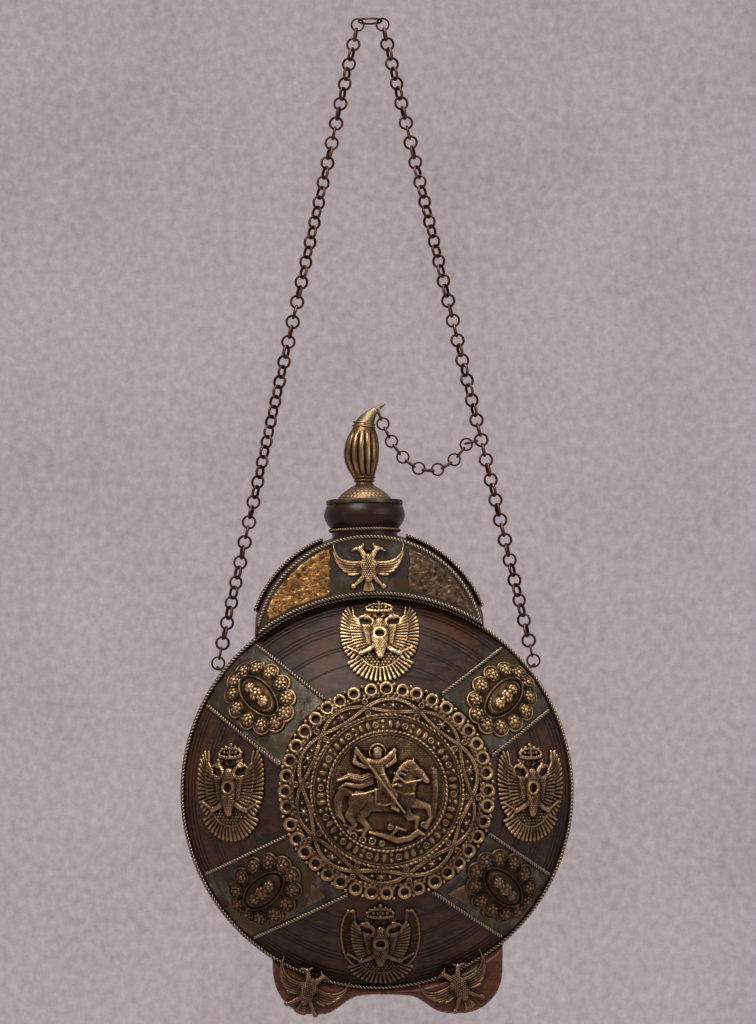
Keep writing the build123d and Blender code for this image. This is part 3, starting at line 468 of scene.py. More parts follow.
class Relief:
    """A cast or stamped piece drawn as a height field over a plane, in millimetres.

    A distance d is negative inside a form. Edge is the distance to the piece's outline.
    """

    def __init__(self, half_x, half_y, step, x=0.0, y=0.0):
        self.step = step
        nx, ny = int(math.ceil(2 * half_x / step)), int(math.ceil(2 * half_y / step))
        across = x + np.linspace(-half_x, half_x, nx + 1)
        up = y + np.linspace(-half_y, half_y, ny + 1)
        self.x, self.y = np.meshgrid(across, up, indexing="ij")
        self.fx = self.x
        self.edge = np.full(self.x.shape, 9.0)
        self.height = np.zeros(self.x.shape)

    def mirror(self):
        """Draw every form on both sides of the middle line."""
        self.fx = np.abs(self.x)

    def bar(self, a, b, ra, rb=None):
        """The distance to a bar whose radius goes from ra at a to rb at b."""
        rb = ra if rb is None else rb
        dx, dy = b[0] - a[0], b[1] - a[1]
        px, py = self.fx - a[0], self.y - a[1]
        t = np.clip((px * dx + py * dy) / max(dx * dx + dy * dy, 1e-9), 0, 1)
        return np.hypot(px - t * dx, py - t * dy) - (ra + t * (rb - ra))

    def line(self, points, radii):
        radii = [radii] * len(points) if isinstance(radii, (int, float)) else radii
        out = np.full(self.x.shape, 99.0)
        for a, b, ra, rb in zip(points, points[1:], radii, radii[1:]):
            out = np.minimum(out, self.bar(a, b, ra, rb))
        return out

    def disc(self, x, y, r):
        return np.hypot(self.fx - x, self.y - y) - r

    def ring(self, x, y, r, half):
        return np.abs(np.hypot(self.x - x, self.y - y) - r) - half

    def polygon(self, points):
        px, py = self.fx, self.y
        best = np.full(px.shape, 1e9)
        sign = np.ones(px.shape)
        for (ax, ay), (bx, by) in zip(points, points[1:] + points[:1]):
            ex, ey = bx - ax, by - ay
            wx, wy = px - ax, py - ay
            t = np.clip((wx * ex + wy * ey) / (ex * ex + ey * ey), 0, 1)
            best = np.minimum(best, (wx - t * ex) ** 2 + (wy - t * ey) ** 2)
            above, below, left = py >= ay, py < by, ex * wy > ey * wx
            flip = (above & below & left) | (~above & ~below & ~left)
            sign = np.where(flip, -sign, sign)
        return sign * np.sqrt(best)

    def plate(self, d, height=0.0, soft=0.6):
        """Add an area to the outline, with a rounded edge of the given height."""
        self.edge = np.minimum(self.edge, d)
        self.height = np.maximum(self.height, height * rounded(d, soft) * (d < 0))

    def swell(self, d, low, top, soft):
        """Raise a rounded form that goes from the height low at its edge to low + top."""
        form = low + top * rounded(d, soft)
        self.height = np.where(d < 0, np.maximum(self.height, form), self.height)

    def cast(self, d, low, top, soft):
        """Add an area to the outline and raise it."""
        self.plate(d)
        self.swell(d, low, top, soft)

    def add(self, d, top, soft):
        """Lift what is there by a rounded form."""
        self.height = self.height + top * rounded(d, soft) * (d < 0)

    def carve(self, d, depth, width):
        """Cut a soft line where d is near zero."""
        self.height = self.height - depth * np.exp(-(d / width) ** 2)

    def pierce(self, d):
        self.edge = np.maximum(self.edge, -d)

    def stipple(self, region, pitch, radius, height):
        """Cover a region with small round grains in a honeycomb of the given pitch."""
        row_pitch = pitch * 0.866
        row = np.round(self.y / row_pitch)
        shift = (row % 2) * 0.5
        col = np.round(self.x / pitch - shift)
        d = np.hypot(self.x - (col + shift) * pitch, self.y - row * row_pitch)
        self.height = self.height + height * np.sqrt(np.clip(1 - (d / radius) ** 2, 0, 1)) * (region < 0)


def rough_field(x, y, seed, scales, weights):
    """A smooth random field from about -1 to 1: random values on grids of several sizes, blended between."""
    field_rng = np.random.default_rng(seed)
    out = np.zeros(x.shape)
    for scale, weight in zip(scales, weights):
        u, v = (x - x.min()) / scale * 2, (y - y.min()) / scale * 2
        i, j = u.astype(int), v.astype(int)
        grid = field_rng.uniform(-1, 1, (i.max() + 2, j.max() + 2))
        u, v = u - i, v - j
        u, v = u * u * (3 - 2 * u), v * v * (3 - 2 * v)
        low = grid[i, j] * (1 - u) + grid[i + 1, j] * u
        high = grid[i, j + 1] * (1 - u) + grid[i + 1, j + 1] * u
        out += weight * (low * (1 - v) + high * v)
    return out


def blur(field, cells):
    """A box blur done twice, for telling hollows from high places."""
    size = 2 * cells + 1
    for _ in range(2):
        for axis in (0, 1):
            margins = [(cells + 1, cells) if a == axis else (0, 0) for a in (0, 1)]
            total = np.cumsum(np.pad(field, margins, mode="edge"), axis=axis)
            upper = np.take(total, np.arange(size, total.shape[axis]), axis=axis)
            lower = np.take(total, np.arange(0, total.shape[axis] - size), axis=axis)
            field = (upper - lower) / size
    return field


def relief_part(relief, place, base, gap, rub_scale=0.45, double=False):
    """A closed mesh from a relief. place(u, v, w) maps the plane and the height w over the surface to space.

    The front lies at base plus the relief's height and the back at gap, or, if double, at the front's
    mirror image. Grid points near the outline move onto it.
    """
    step, edge = relief.step, relief.edge
    gx, gy = np.gradient(edge, step)
    size = np.maximum(np.hypot(gx, gy), 0.25)
    near = np.abs(edge) < 0.72 * step * 1.2
    moved = np.clip(edge / size, -step * 0.7, step * 0.7)
    u = np.where(near, relief.x - moved * gx / size, relief.x)
    v = np.where(near, relief.y - moved * gy / size, relief.y)
    inside = (edge < 0) | near
    height = np.where(inside, relief.height, 0)
    top = base + height * np.sqrt(np.clip(-edge / (step * 1.2), 0, 1))
    local = height - blur(height, max(2, int(round(1.3 / step))))
    rub = np.clip(0.42 + local / rub_scale * 0.5, 0, 1)

    index = np.full(edge.shape, -1)
    index[inside] = np.arange(inside.sum())
    corners = [index[:-1, :-1], index[1:, :-1], index[1:, 1:], index[:-1, 1:]]
    ok = [c >= 0 for c in corners]
    total = sum(o.astype(int) for o in ok)
    deep = (edge[:-1, :-1] < 0) | (edge[1:, :-1] < 0) | (edge[1:, 1:] < 0) | (edge[:-1, 1:] < 0)
    full = (total == 4) & deep
    quads = np.stack([c[full] for c in corners], 1)
    tris = []
    for missing in range(4):
        three = (total == 3) & ~ok[missing] & deep
        tris.append(np.stack([corners[(missing + s) % 4][three] for s in (1, 2, 3)], 1))
    tris = np.concatenate(tris)
    used = np.zeros(int(inside.sum()), bool)
    used[quads.ravel()] = True
    used[tris.ravel()] = True
    renumber = np.cumsum(used) - 1
    quads, tris = renumber[quads], renumber[tris]

    u, v, top, rub = (field[inside][used] for field in (u, v, top, rub))
    n = len(u)
    lower = place(u, v, -top if double else np.full(n, gap))
    pairs = [face[:, [a, (a + 1) % face.shape[1]]] for face in (quads, tris) for a in range(face.shape[1])]
    pairs = np.concatenate(pairs)
    rim = pairs[~np.isin(pairs[:, 0] * n + pairs[:, 1], pairs[:, 1] * n + pairs[:, 0])]
    walls = np.stack([rim[:, 1], rim[:, 0], rim[:, 0] + n, rim[:, 1] + n], 1)
    faces = [quads, tris, quads[:, ::-1] + n, tris[:, ::-1] + n, walls]
    back_rub = rub if double else np.full(n, 0.15)
    return np.vstack([place(u, v, top), lower]), faces, np.concatenate([rub, back_rub])


def on_dome(ox, oz, turn=0.0, share=1.0):
    """A placing function for the front dome, in a frame that touches it at (ox, oz)."""
    c, s = math.cos(math.radians(turn)), math.sin(math.radians(turn))
    out = np.array([ox, -math.sqrt(DOME_R ** 2 - ox ** 2 - oz ** 2), oz]) / DOME_R
    right = np.cross([0, 0, 1], out)
    right = right / np.linalg.norm(right)
    right = -right if right[0] < 0 else right
    up = np.cross(right, out)
    up = -up if up[2] < 0 else up

    def place(u, v, w):
        u, v = u * share, v * share
        a, b = c * u - s * v, s * u + c * v
        deep = np.sqrt(DOME_R ** 2 - a ** 2 - b ** 2)
        ray = a[:, None] * right + b[:, None] * up + deep[:, None] * out
        return np.array([0, DOME_Y, 0]) + ray * ((DOME_R + w) / DOME_R)[:, None]
    return place


def on_flat(x, y, z, turn=0.0):
    """A placing function for a flat place that faces the front."""
    c, s = math.cos(math.radians(turn)), math.sin(math.radians(turn))

    def place(u, v, w):
        return np.stack([x + c * u - s * v, y - w, z + (s * u + c * v)], 1)
    return place


def on_cylinder(radius, x, z, start):
    """A placing function round an axis along Y; u runs along the curve from a start angle and v along Y."""
    def place(u, v, w):
        angle = math.radians(start) + u / radius
        return np.stack([x + (radius + w) * np.cos(angle), v, z + (radius + w) * np.sin(angle)], 1)
    return place


# Chains
def islands(name):
    """The middle and the hole's axis of each separate ring of a CAD node, in millimetres."""
    mesh = nodes[name].data
    co = np.empty(len(mesh.vertices) * 3)
    mesh.vertices.foreach_get("co", co)
    co = co.reshape(-1, 3) / MM
    keys, weld = np.unique(np.round(co * 200).astype(np.int64), axis=0, return_inverse=True)
    weld = weld.ravel()
    label = np.arange(len(keys))
    ends = np.empty(len(mesh.edges) * 2, np.int32)
    mesh.edges.foreach_get("vertices", ends)
    a, b = weld[ends[0::2]], weld[ends[1::2]]
    while True:
        low = np.minimum(label[a], label[b])
        new = label.copy()
        np.minimum.at(new, a, low)
        np.minimum.at(new, b, low)
        new = new[new]
        if (new == label).all():
            break
        label = new
    found = []
    for value in np.unique(label):
        points = co[label[weld] == value]
        spread = points - points.mean(0)
        axis = np.linalg.svd(spread.T @ spread)[0][:, 2]
        found.append(((points.max(0) + points.min(0)) / 2 - CENTRE, axis))
    return found


def turned(vector, about, angle):
    """A vector turned about a unit axis."""
    c, s = math.cos(angle), math.sin(angle)
    return vector * c + np.cross(about, vector) * s + about * (about @ vector) * (1 - c)


# Where a strand's rings begin and end from its top, the length in which their sway eases in, the sway's
# angle in degrees and its length, and the length it is stilled in where another ring hooks in
STRAND_START, STRAND_END, EASE = 6, 327, 30
SWAY_ANGLE, SWAY_LENGTH, STILL_LENGTH = 38, 33, 24
END_WIRE = 0.47
RING_STEPS, WIRE_SIDES = 40, 10


class Strand:
    """A straight run of the carrying chain, whose rings turn a little about it, as they do on an old chain.

    They stay as the CAD has them at both ends and at a still place, where another ring hooks in.
    """

    def __init__(self, side, still):
        self.top = np.array([side * HANGING_R, 0, 0]) - CENTRE
        foot = np.array([side * LUG_X, 0, LUG_Z])
        self.line = (foot - self.top) / np.linalg.norm(foot - self.top)
        self.still = still

    def turn(self, middle, axis):
        along = (middle - self.top) @ self.line
        ease = min(1.0, max(along - STRAND_START, 0) / EASE, max(STRAND_END - along, 0) / EASE)
        ease = ease * (1 - math.exp(-((along - self.still) / STILL_LENGTH) ** 2))
        angle = math.radians(SWAY_ANGLE) * ease * math.sin(along / SWAY_LENGTH + self.still)
        return turned(axis, self.line, angle), not STRAND_START + 1 < along < STRAND_END - 1


def rings(name, radius, wire, flat, body, wobble=0.0, strand=None):
    """Finely made rings in the places of a CAD node's rings. A strand's end rings are thinner and round."""
    parts = []
    for middle, axis in islands(name):
        at_end = False
        if strand:
            axis, at_end = strand.turn(middle, axis)
        axis = axis + rng.normal(0, wobble, 3)
        thick = wire * (1 + rng.uniform(-0.05, 0.05))
        if at_end:
            parts.append(torus(middle, axis, radius, END_WIRE, RING_STEPS, WIRE_SIDES))
        else:
            parts.append(torus(middle, axis, radius, thick, RING_STEPS, WIRE_SIDES, flat))
    make_piece(name + "_links", parts, "iron_chain", (name,), body)


# The right strand's still place is where the tether hooks in; the left one's is out of reach.
for name, side, still in (("chain_left", -1, 900.0), ("chain_right", 1, 218.2)):
    rings(name, LINK_R, 0.60, 1.25, "carrying_chain", 0.03, Strand(side, still))
rings("hanging_ring", HANGING_R, 0.57, 1.0, "hanging_ring")
rings("tether_catch_ring", 3.15, 0.52, 1.0, "carrying_chain")
for name in ("tether_eye_ring", "tether_span_1", "tether_span_2", "tether_span_3", "tether_span_4"):
    rings(name, TETHER_LINK_R, 0.475, 1.3, name)


# Wires round the rim
def circle_points(radius, y, start=0.0, end=360.0, x=0.0, z=0.0):
    """Points on a circle, or a part of one, that lies in a plane across the flask's depth."""
    a = np.radians(np.linspace(start, end, max(8, int(abs(end - start) * 2))))
    return np.stack([x + radius * np.cos(a), np.full(len(a), y), z + radius * np.sin(a)], 1)


for y, name in ((-RIM_WIRE_Y, "front"), (RIM_WIRE_Y, "back")):
    parts = twisted(circle_points(RIM_WIRE_R, y)[:-1], 1.05, 3.6, True)
    make_piece(f"rim_twist_{name}", parts, "twisted_wire", (f"rim_wire_{name}",))


# Eagles
def along_guide(points, count):
    """Evenly spaced points on a bent line in the relief's plane."""
    points = np.asarray(points, float)
    step = np.linalg.norm(np.diff(points, axis=0), axis=1)
    total = np.concatenate([[0], np.cumsum(step)])
    at = np.linspace(0, total[-1], count)
    return np.stack([np.interp(at, total, points[:, a]) for a in (0, 1)], 1)


def feathers(r, inner, outer, count, radius, low, top, tip, groove):
    """A row of feathers, each a rounded bar from one guide line to another, that add to the outline."""
    for a, b in zip(along_guide(inner, count), along_guide(outer, count)):
        d = r.bar(a, b, radius, tip)
        r.edge = np.minimum(r.edge, d)
        r.swell(d, low, top, radius)
        if groove:
            r.carve(np.where(r.bar(a, b, 0.05) < radius * 0.8, r.bar(a, b, 0.0), 9), groove, 0.16)


def crowned_eagle(step, smooth_wings):
    """A two-headed eagle under a crown, with fanned wings, a round pierced breast and a fan tail.

    Smooth wings have a raised rim, and the beads of their crown stand higher.
    """
    r = Relief(19.6, 24.8, step)
    r.mirror()
    wing = [(2.0, 8.0), (4.0, 10.6), (9.0, 9.8), (10.6, 13.5), (12.4, 18.4), (15.0, 19.0), (17.0, 15.4),
            (18.2, 10.0), (18.5, 4.0), (17.8, -2.6), (15.8, -8.0), (12.4, -10.8), (9.0, -8.6), (4.0, -6.0),
            (2.0, 0.0)]
    r.plate(r.polygon(wing), 0.3, 0.8)
    outer = [(13.0, 19.6), (15.4, 19.6), (17.5, 16.0), (18.6, 11.0), (18.9, 5.0), (18.3, -1.2), (16.7, -6.8),
             (14.2, -10.4), (12.0, -11.8)]
    middle = [(12.4, 13.8), (13.0, 13.6), (13.6, 11.4), (13.8, 8.4), (13.6, 4.2), (13.0, 0.0), (11.8, -3.6),
              (10.4, -6.2), (9.2, -7.6)]
    inner = [(10.0, 10.8), (10.2, 10.6), (9.6, 9.2), (8.8, 6.6), (8.2, 3.4), (7.8, 0.2), (7.0, -2.4),
             (6.2, -4.2), (5.4, -5.4)]
    if smooth_wings:
        feathers(r, middle, outer, 15, 0.95, 0.35, 0.45, 1.15, 0.10)
        r.cast(r.line(outer, 0.55), 0.7, 0.55, 0.55)
    else:
        feathers(r, middle, outer, 17, 0.66, 0.35, 1.0, 0.84, 0.0)
    feathers(r, inner, middle, 13, 0.66, 0.45, 1.1, 0.80, 0.16)
    shoulder = r.polygon([(3.0, 8.0), (8.6, 9.0), (8.8, 7.0), (8.0, 2.6), (6.6, -4.2), (3.4, -5.0)])
    r.swell(shoulder, 0.75, 0.8, 1.4)

    # Tail
    root = -6.0

    def on_fan(angle, q):
        return q * math.sin(math.radians(angle)), root - q * math.cos(math.radians(angle))
    fan = [on_fan(angle, 16.2) for angle in np.linspace(66, 0, 8)]
    r.plate(r.polygon([(0, -4.0), (3.4, -5.5), (6.5, -9.0)] + fan + [(0, -20)]), 0.45, 0.8)
    for angle in np.linspace(0, 65, 9):
        d = r.bar(on_fan(angle, 10.6), on_fan(angle, 16.9), 0.62, 0.92)
        r.edge = np.minimum(r.edge, d)
        r.swell(d, 0.45, 0.75, 0.7)
    away = np.hypot(r.fx, r.y - root)
    r.swell(np.maximum(np.abs(away - 10.2) - 0.45, r.y + 8.4), 0.6, 0.6, 0.45)
    r.stipple(np.maximum(np.abs(away - 6.6) - 3.0, r.y + 7.0), 1.7, 0.82, 0.75)

    # Body, heads and claws
    body = r.line([(0, 9.4), (0, 3.0), (0, -4.0), (0, -9.5)], [2.6, 4.8, 4.2, 2.2])
    r.cast(body, 0.9, 1.5, 3.6)
    neck = r.line([(1.0, 5.0), (3.4, 9.4), (5.6, 12.4)], [2.2, 1.9, 1.6])
    r.cast(neck, 0.8, 1.2, 1.5)
    r.cast(r.disc(6.3, 12.9, 1.75), 0.9, 1.4, 1.7)
    r.cast(r.line([(7.4, 13.2), (9.2, 13.0), (10.4, 11.8)], [1.0, 0.75, 0.3]), 0.8, 0.9, 0.8)
    r.carve(r.disc(6.7, 13.2, 0.42), 0.7, 0.30)
    for k in range(4):
        crest = r.bar((4.6 + 0.8 * k, 14.2 + 0.25 * k), (4.3 + 0.9 * k, 15.5 + 0.2 * k), 0.42, 0.3)
        r.cast(crest, 0.7, 0.5, 0.4)
    foot = (8.4, -8.2)
    r.cast(r.line([(2.8, -4.6), (5.6, -6.6), foot], [1.6, 1.5, 1.1]), 0.9, 1.1, 1.2)
    for k in (-1, 0, 1):
        r.cast(r.bar(foot, (9.6 + 0.5 * abs(k - 1), -9.0 + 1.3 * k), 0.55, 0.3), 0.9, 0.6, 0.5)
    r.cast(r.line([(8.6, -8.9), (15.8, -4.6)], [0.75, 0.6]), 1.0, 0.7, 0.6)
    r.swell(r.disc(9.6, -8.5, 1.35), 1.1, 0.9, 1.3)

    # Crown
    crown = [(0, 16.0), (5.9, 16.4), (7.0, 18.6), (6.2, 20.6), (3.6, 21.6), (1.9, 22.0), (1.5, 23.4),
             (0, 23.8)]
    r.plate(r.polygon(crown), 0.7, 0.8)
    r.cast(r.line([(0, 16.7), (3.0, 16.75), (6.0, 17.3)], 0.85), 0.7, 0.8, 0.8)
    r.swell(r.line([(6.2, 18.0), (5.9, 19.8), (3.6, 21.0), (0.9, 21.2), (0, 20.6)], 0.65), 0.8, 0.7, 0.6)
    r.swell(r.line([(0, 17.4), (0, 22.0)], 0.6), 0.8, 0.8, 0.6)
    for k in range(5):
        r.swell(r.disc(0.2 + 1.45 * k, 17.0 + 0.06 * k * k, 0.5), 1.2, 0.6, 0.5)
    beads = ((0, 23.0, 1.1), (2.6, 21.9, 0.8), (5.0, 20.9, 0.8), (6.6, 19.2, 0.7), (3.3, 19.2, 0.9),
             (1.3, 19.1, 0.7))
    for x, y, q in beads:
        r.cast(r.disc(x, y, q), 0.9, 0.9 if smooth_wings else 0.6, q)
    r.plate(r.polygon([(0, 16.6), (3.6, 16.4), (5.2, 14.6), (3.2, 13.2), (0, 12.4)]), 0.6, 0.8)

    # Breast, scales and openings
    from_breast = np.hypot(r.fx, r.y - 2.4)
    r.swell(np.abs(from_breast - 3.0) - 0.65, 1.4, 0.9, 0.6)
    r.swell(r.line([(3.0, 0.6), (0, -3.4)], [0.7, 0.6]), 1.3, 0.8, 0.6)
    scaled = np.maximum(body, 3.9 - from_breast)
    r.stipple(np.minimum(scaled + 0.4, np.maximum(neck + 0.3, -body)), 1.15, 0.58, 0.38)
    r.stipple(np.maximum(shoulder + 0.5, -body), 1.25, 0.62, 0.34)
    r.height += 0.07 * rough_field(r.x, r.y, 3, (2.6, 1.3), (1, 0.8))
    for x, y, q in ((0, 2.4, 2.05), (6.1, 9.9, 1.75), (0, 14.4, 1.25)):
        r.pierce(r.disc(x, y, q))
    r.pierce(r.bar((4.9, 9.2), (7.6, 9.6), 1.0))
    return r


def long_feather(start, tip, number):
    """Points along a feather that sweeps down and out, then up to its tip."""
    reach = tip[0] - start[0]
    bend = (start[0] + 0.45 * reach, start[1] - 1.4 + 0.12 * number)
    turn = (start[0] + 0.98 * reach, start[1] + 0.12 * (tip[1] - start[1]) - 0.7)
    t = np.linspace(0, 1, 10)[:, None]
    weights = ((1 - t) ** 3, 3 * t * (1 - t) ** 2, 3 * t * t * (1 - t), t ** 3)
    line = sum(weight * np.array(point) for weight, point in zip(weights, (start, bend, turn, tip)))
    radii = np.interp(t[:, 0], [0, 0.3, 0.75, 1], [0.55, 0.86, 0.74, 0.28])
    return [tuple(q) for q in line], list(radii)


def small_eagle(step):
    """A two-headed eagle with long raised feathers, knobbed feet and a short tail."""
    r = Relief(18.4, 12.8, step)
    r.mirror()
    web = [(3.6, 3.0), (9.0, 1.9), (13.4, 3.6), (16.4, 8.6), (15.6, 4.4), (14.2, 1.4), (12.2, -1.2),
           (9.6, -3.0), (4.0, -3.8)]
    r.plate(r.polygon(web), 0.25, 0.6)
    tips = ((17.3, 11.4), (17.2, 7.9), (16.4, 4.8), (15.0, 1.9), (12.9, -0.9), (10.2, -3.4))
    for k, tip in enumerate(tips):
        r.cast(r.line(*long_feather((4.0 + 0.1 * k, 2.7 - 1.15 * k), tip, k)), 0.35, 1.25, 0.8)
    r.cast(r.line([(3.2, 2.8), (4.4, 1.8), (4.8, -1.2), (3.6, -3.2)], [1.2, 1.3, 1.3, 1.1]), 0.6, 1.1, 1.7)
    body = r.line([(0, 4.4), (0, 1.0), (0, -2.6), (0, -5.6)], [2.6, 4.6, 4.0, 2.2])
    r.cast(body, 0.7, 1.6, 3.4)
    neck = r.line([(1.0, 3.6), (2.4, 6.4), (3.6, 8.6)], [1.9, 1.6, 1.3])
    r.cast(neck, 0.8, 1.1, 1.4)
    r.cast(r.disc(4.2, 9.1, 1.55), 0.8, 1.2, 1.5)
    r.cast(r.line([(5.0, 9.4), (6.9, 9.0), (8.3, 7.9)], [0.9, 0.7, 0.35]), 0.7, 0.8, 0.7)
    r.cast(r.line([(3.4, 9.8), (2.4, 11.2)], [0.9, 0.6]), 0.7, 0.7, 0.6)
    r.plate(r.polygon([(0, 6.0), (1.8, 7.4), (1.6, 9.6), (0, 9.2)]), 0.6, 0.6)
    r.cast(r.line([(2.6, -4.6), (4.4, -6.6), (6.6, -8.6)], [1.4, 1.2, 0.8]), 0.8, 1.0, 1.0)
    r.cast(r.disc(7.5, -9.4, 1.45), 0.5, 1.3, 1.4)
    for angle in (0, 9, 18):
        s, c = math.sin(math.radians(angle)), math.cos(math.radians(angle))
        r.cast(r.bar((0, -4.0), (7.4 * s, -4.0 - 7.4 * c), 0.7, 0.75), 0.6, 0.8, 0.7)
    r.stipple(np.minimum(body + 0.3, neck + 0.3), 1.1, 0.56, 0.42)
    r.height += 0.06 * rough_field(r.x, r.y, 4, (2.6, 1.3), (1, 0.8))
    r.pierce(r.disc(5.6, 5.6, 1.15))
    return r


ornate, smooth_eagle = crowned_eagle(0.27, False), crowned_eagle(0.27, True)
backs = []
# Painted light from above: the top eagle takes the brass painted lit, the left and right ones and the backs
# the brass painted half-shade, the bottom one the brass painted shade.
for spot, x, z, metal in (("top", 2.0, 74.2, "pale_brass"), ("left", -71.5, 0.5, "brass_painted_half_shade"),
                          ("right", 75.0, -1.0, "brass_painted_half_shade"), ("bottom", 1.0, -74.2, "brass_painted_shade")):
    part = relief_part(smooth_eagle if spot == "bottom" else ornate, on_dome(x, z), SEAT, 0.2)
    make_piece(f"cast_eagle_{spot}", [part], metal, (f"eagle_{spot}",))
    backs.append(part)
make_piece("cast_eagles_back", mirrored(backs), "brass_painted_half_shade", ("eagles_back",))

small = small_eagle(0.22)
part = relief_part(small, on_flat(-3.2, -18.6, 110.2), SEAT, 0.0)
# The shoulder eagle takes the brass painted lit.
both_faces("cast_eagle_shoulder", [part], "pale_brass", "shoulder_eagle")
# The eagles by the feet take the brass painted shade, their backs the brass painted half-shade.
backs = []
for name, x, z, turn in (("left", -34.5, -97.0, -22.0), ("right", 39.5, -95.5, 28.0)):
    part = relief_part(small, on_flat(x, -16.15, z, turn), SEAT, 0.0)
    make_piece(f"cast_eagle_foot_{name}", [part], "brass_painted_shade", (f"foot_eagle_{name}",))
    backs.append(part)
make_piece("cast_eagles_foot_back", mirrored(backs), "brass_painted_half_shade", ("foot_eagles_back",))


# Oval bosses
def grain_cluster(r, x, y, ring_radius, grain, phase):
    """A rosette of round grains on a small mound."""
    r.add(r.disc(x, y, ring_radius + grain * 1.5), 0.55, ring_radius + grain)
    for k in range(7):
        angle = phase + 2 * math.pi * k / 7
        d = r.disc(x + ring_radius * math.cos(angle), y + ring_radius * math.sin(angle), grain)
        r.add(d, grain * 0.95, grain)
    r.add(r.disc(x, y, grain * 1.3), grain * 1.3 * 1.15, grain * 1.3)


def oval_boss(step, seed):
    """A scalloped oval boss with a rosette in each scallop and three on its almond core."""
    phase_rng = np.random.default_rng(seed)
    r = Relief(21.2, 16.0, step)
    angles = [math.radians(15 + 30 * k) for k in range(12)]
    spots = [(15.6 * math.cos(angle), 10.9 * math.sin(angle)) for angle in angles]
    r.plate((np.hypot(r.x / 17.4, r.y / 12.4) - 1) * 13.0)
    for x, y in spots:
        r.plate(r.disc(x, y, 4.45))
    r.height = 2.0 * np.sqrt(np.clip(1 - np.hypot(r.x / 20.5, r.y / 15.5) ** 2, 0, 1))
    r.add(np.abs(r.edge + 0.55) - 0.42, 0.55, 0.4)
    r.add(np.abs(r.edge + 1.6) - 0.30, 0.35, 0.3)
    for x, y in spots:
        grain_cluster(r, x, y, 1.85, 0.86, phase_rng.uniform(0, 1))
        open_side = np.cos(np.arctan2(r.y - y, r.x - x) - math.atan2(y, x)) < 0.75
        r.add(np.where(open_side, r.ring(x, y, 3.15, 0.30), 9), 0.42, 0.3)
    core = (np.hypot(r.x / 9.6, r.y / 4.6) - 1) * 4.6
    r.add(core, 1.9, 4.0)
    r.add(np.abs(core - 0.1) - 0.38, 0.6, 0.4)
    r.add(np.abs(core - 1.35) - 0.30, 0.45, 0.3)
    for x, size in ((-4.7, 0.92), (0, 1.12), (4.7, 0.92)):
        grain_cluster(r, x, 0, 1.75 * size, 0.84 * size, 0.3)
    return r


# The upper bosses take their own brass; the lower ones take the brass painted shade, darker as if lit from
# above.
boss_spots = (("upper_left", -58.0, 46.0, 140.5, "boss_brass"),
              ("upper_right", 60.0, 44.0, 38.0, "boss_brass"),
              ("lower_left", -56.0, -47.0, 216.5, "brass_painted_shade"),
              ("lower_right", 58.5, -46.5, -39.0, "brass_painted_shade"))
backs = []
for number, (spot, x, z, turn, metal) in enumerate(boss_spots):
    part = relief_part(oval_boss(0.25, 30 + number), on_dome(x + 1.4, z + 0.6, turn, 1.12), 1.15, 1.1, 0.62)
    make_piece(f"oval_boss_{spot}", [part], metal, (f"boss_{spot}",))
    backs.append(part)
make_piece("oval_bosses_back", mirrored(backs), "old_brass", ("bosses_back",))


# Medallion
def rope(r, rho, phi, radius, half, count, low, top, slant=1.0):
    """A twisted cord laid in a circle."""
    d = np.abs(rho - radius) - half
    ridges = 0.5 + 0.5 * np.cos(count * phi + slant * (rho - radius) / half * 1.4)
    form = low + top * rounded(d, half) * (0.45 + 0.55 * ridges)
    r.height = np.where(d < 0, np.maximum(r.height, form), r.height)


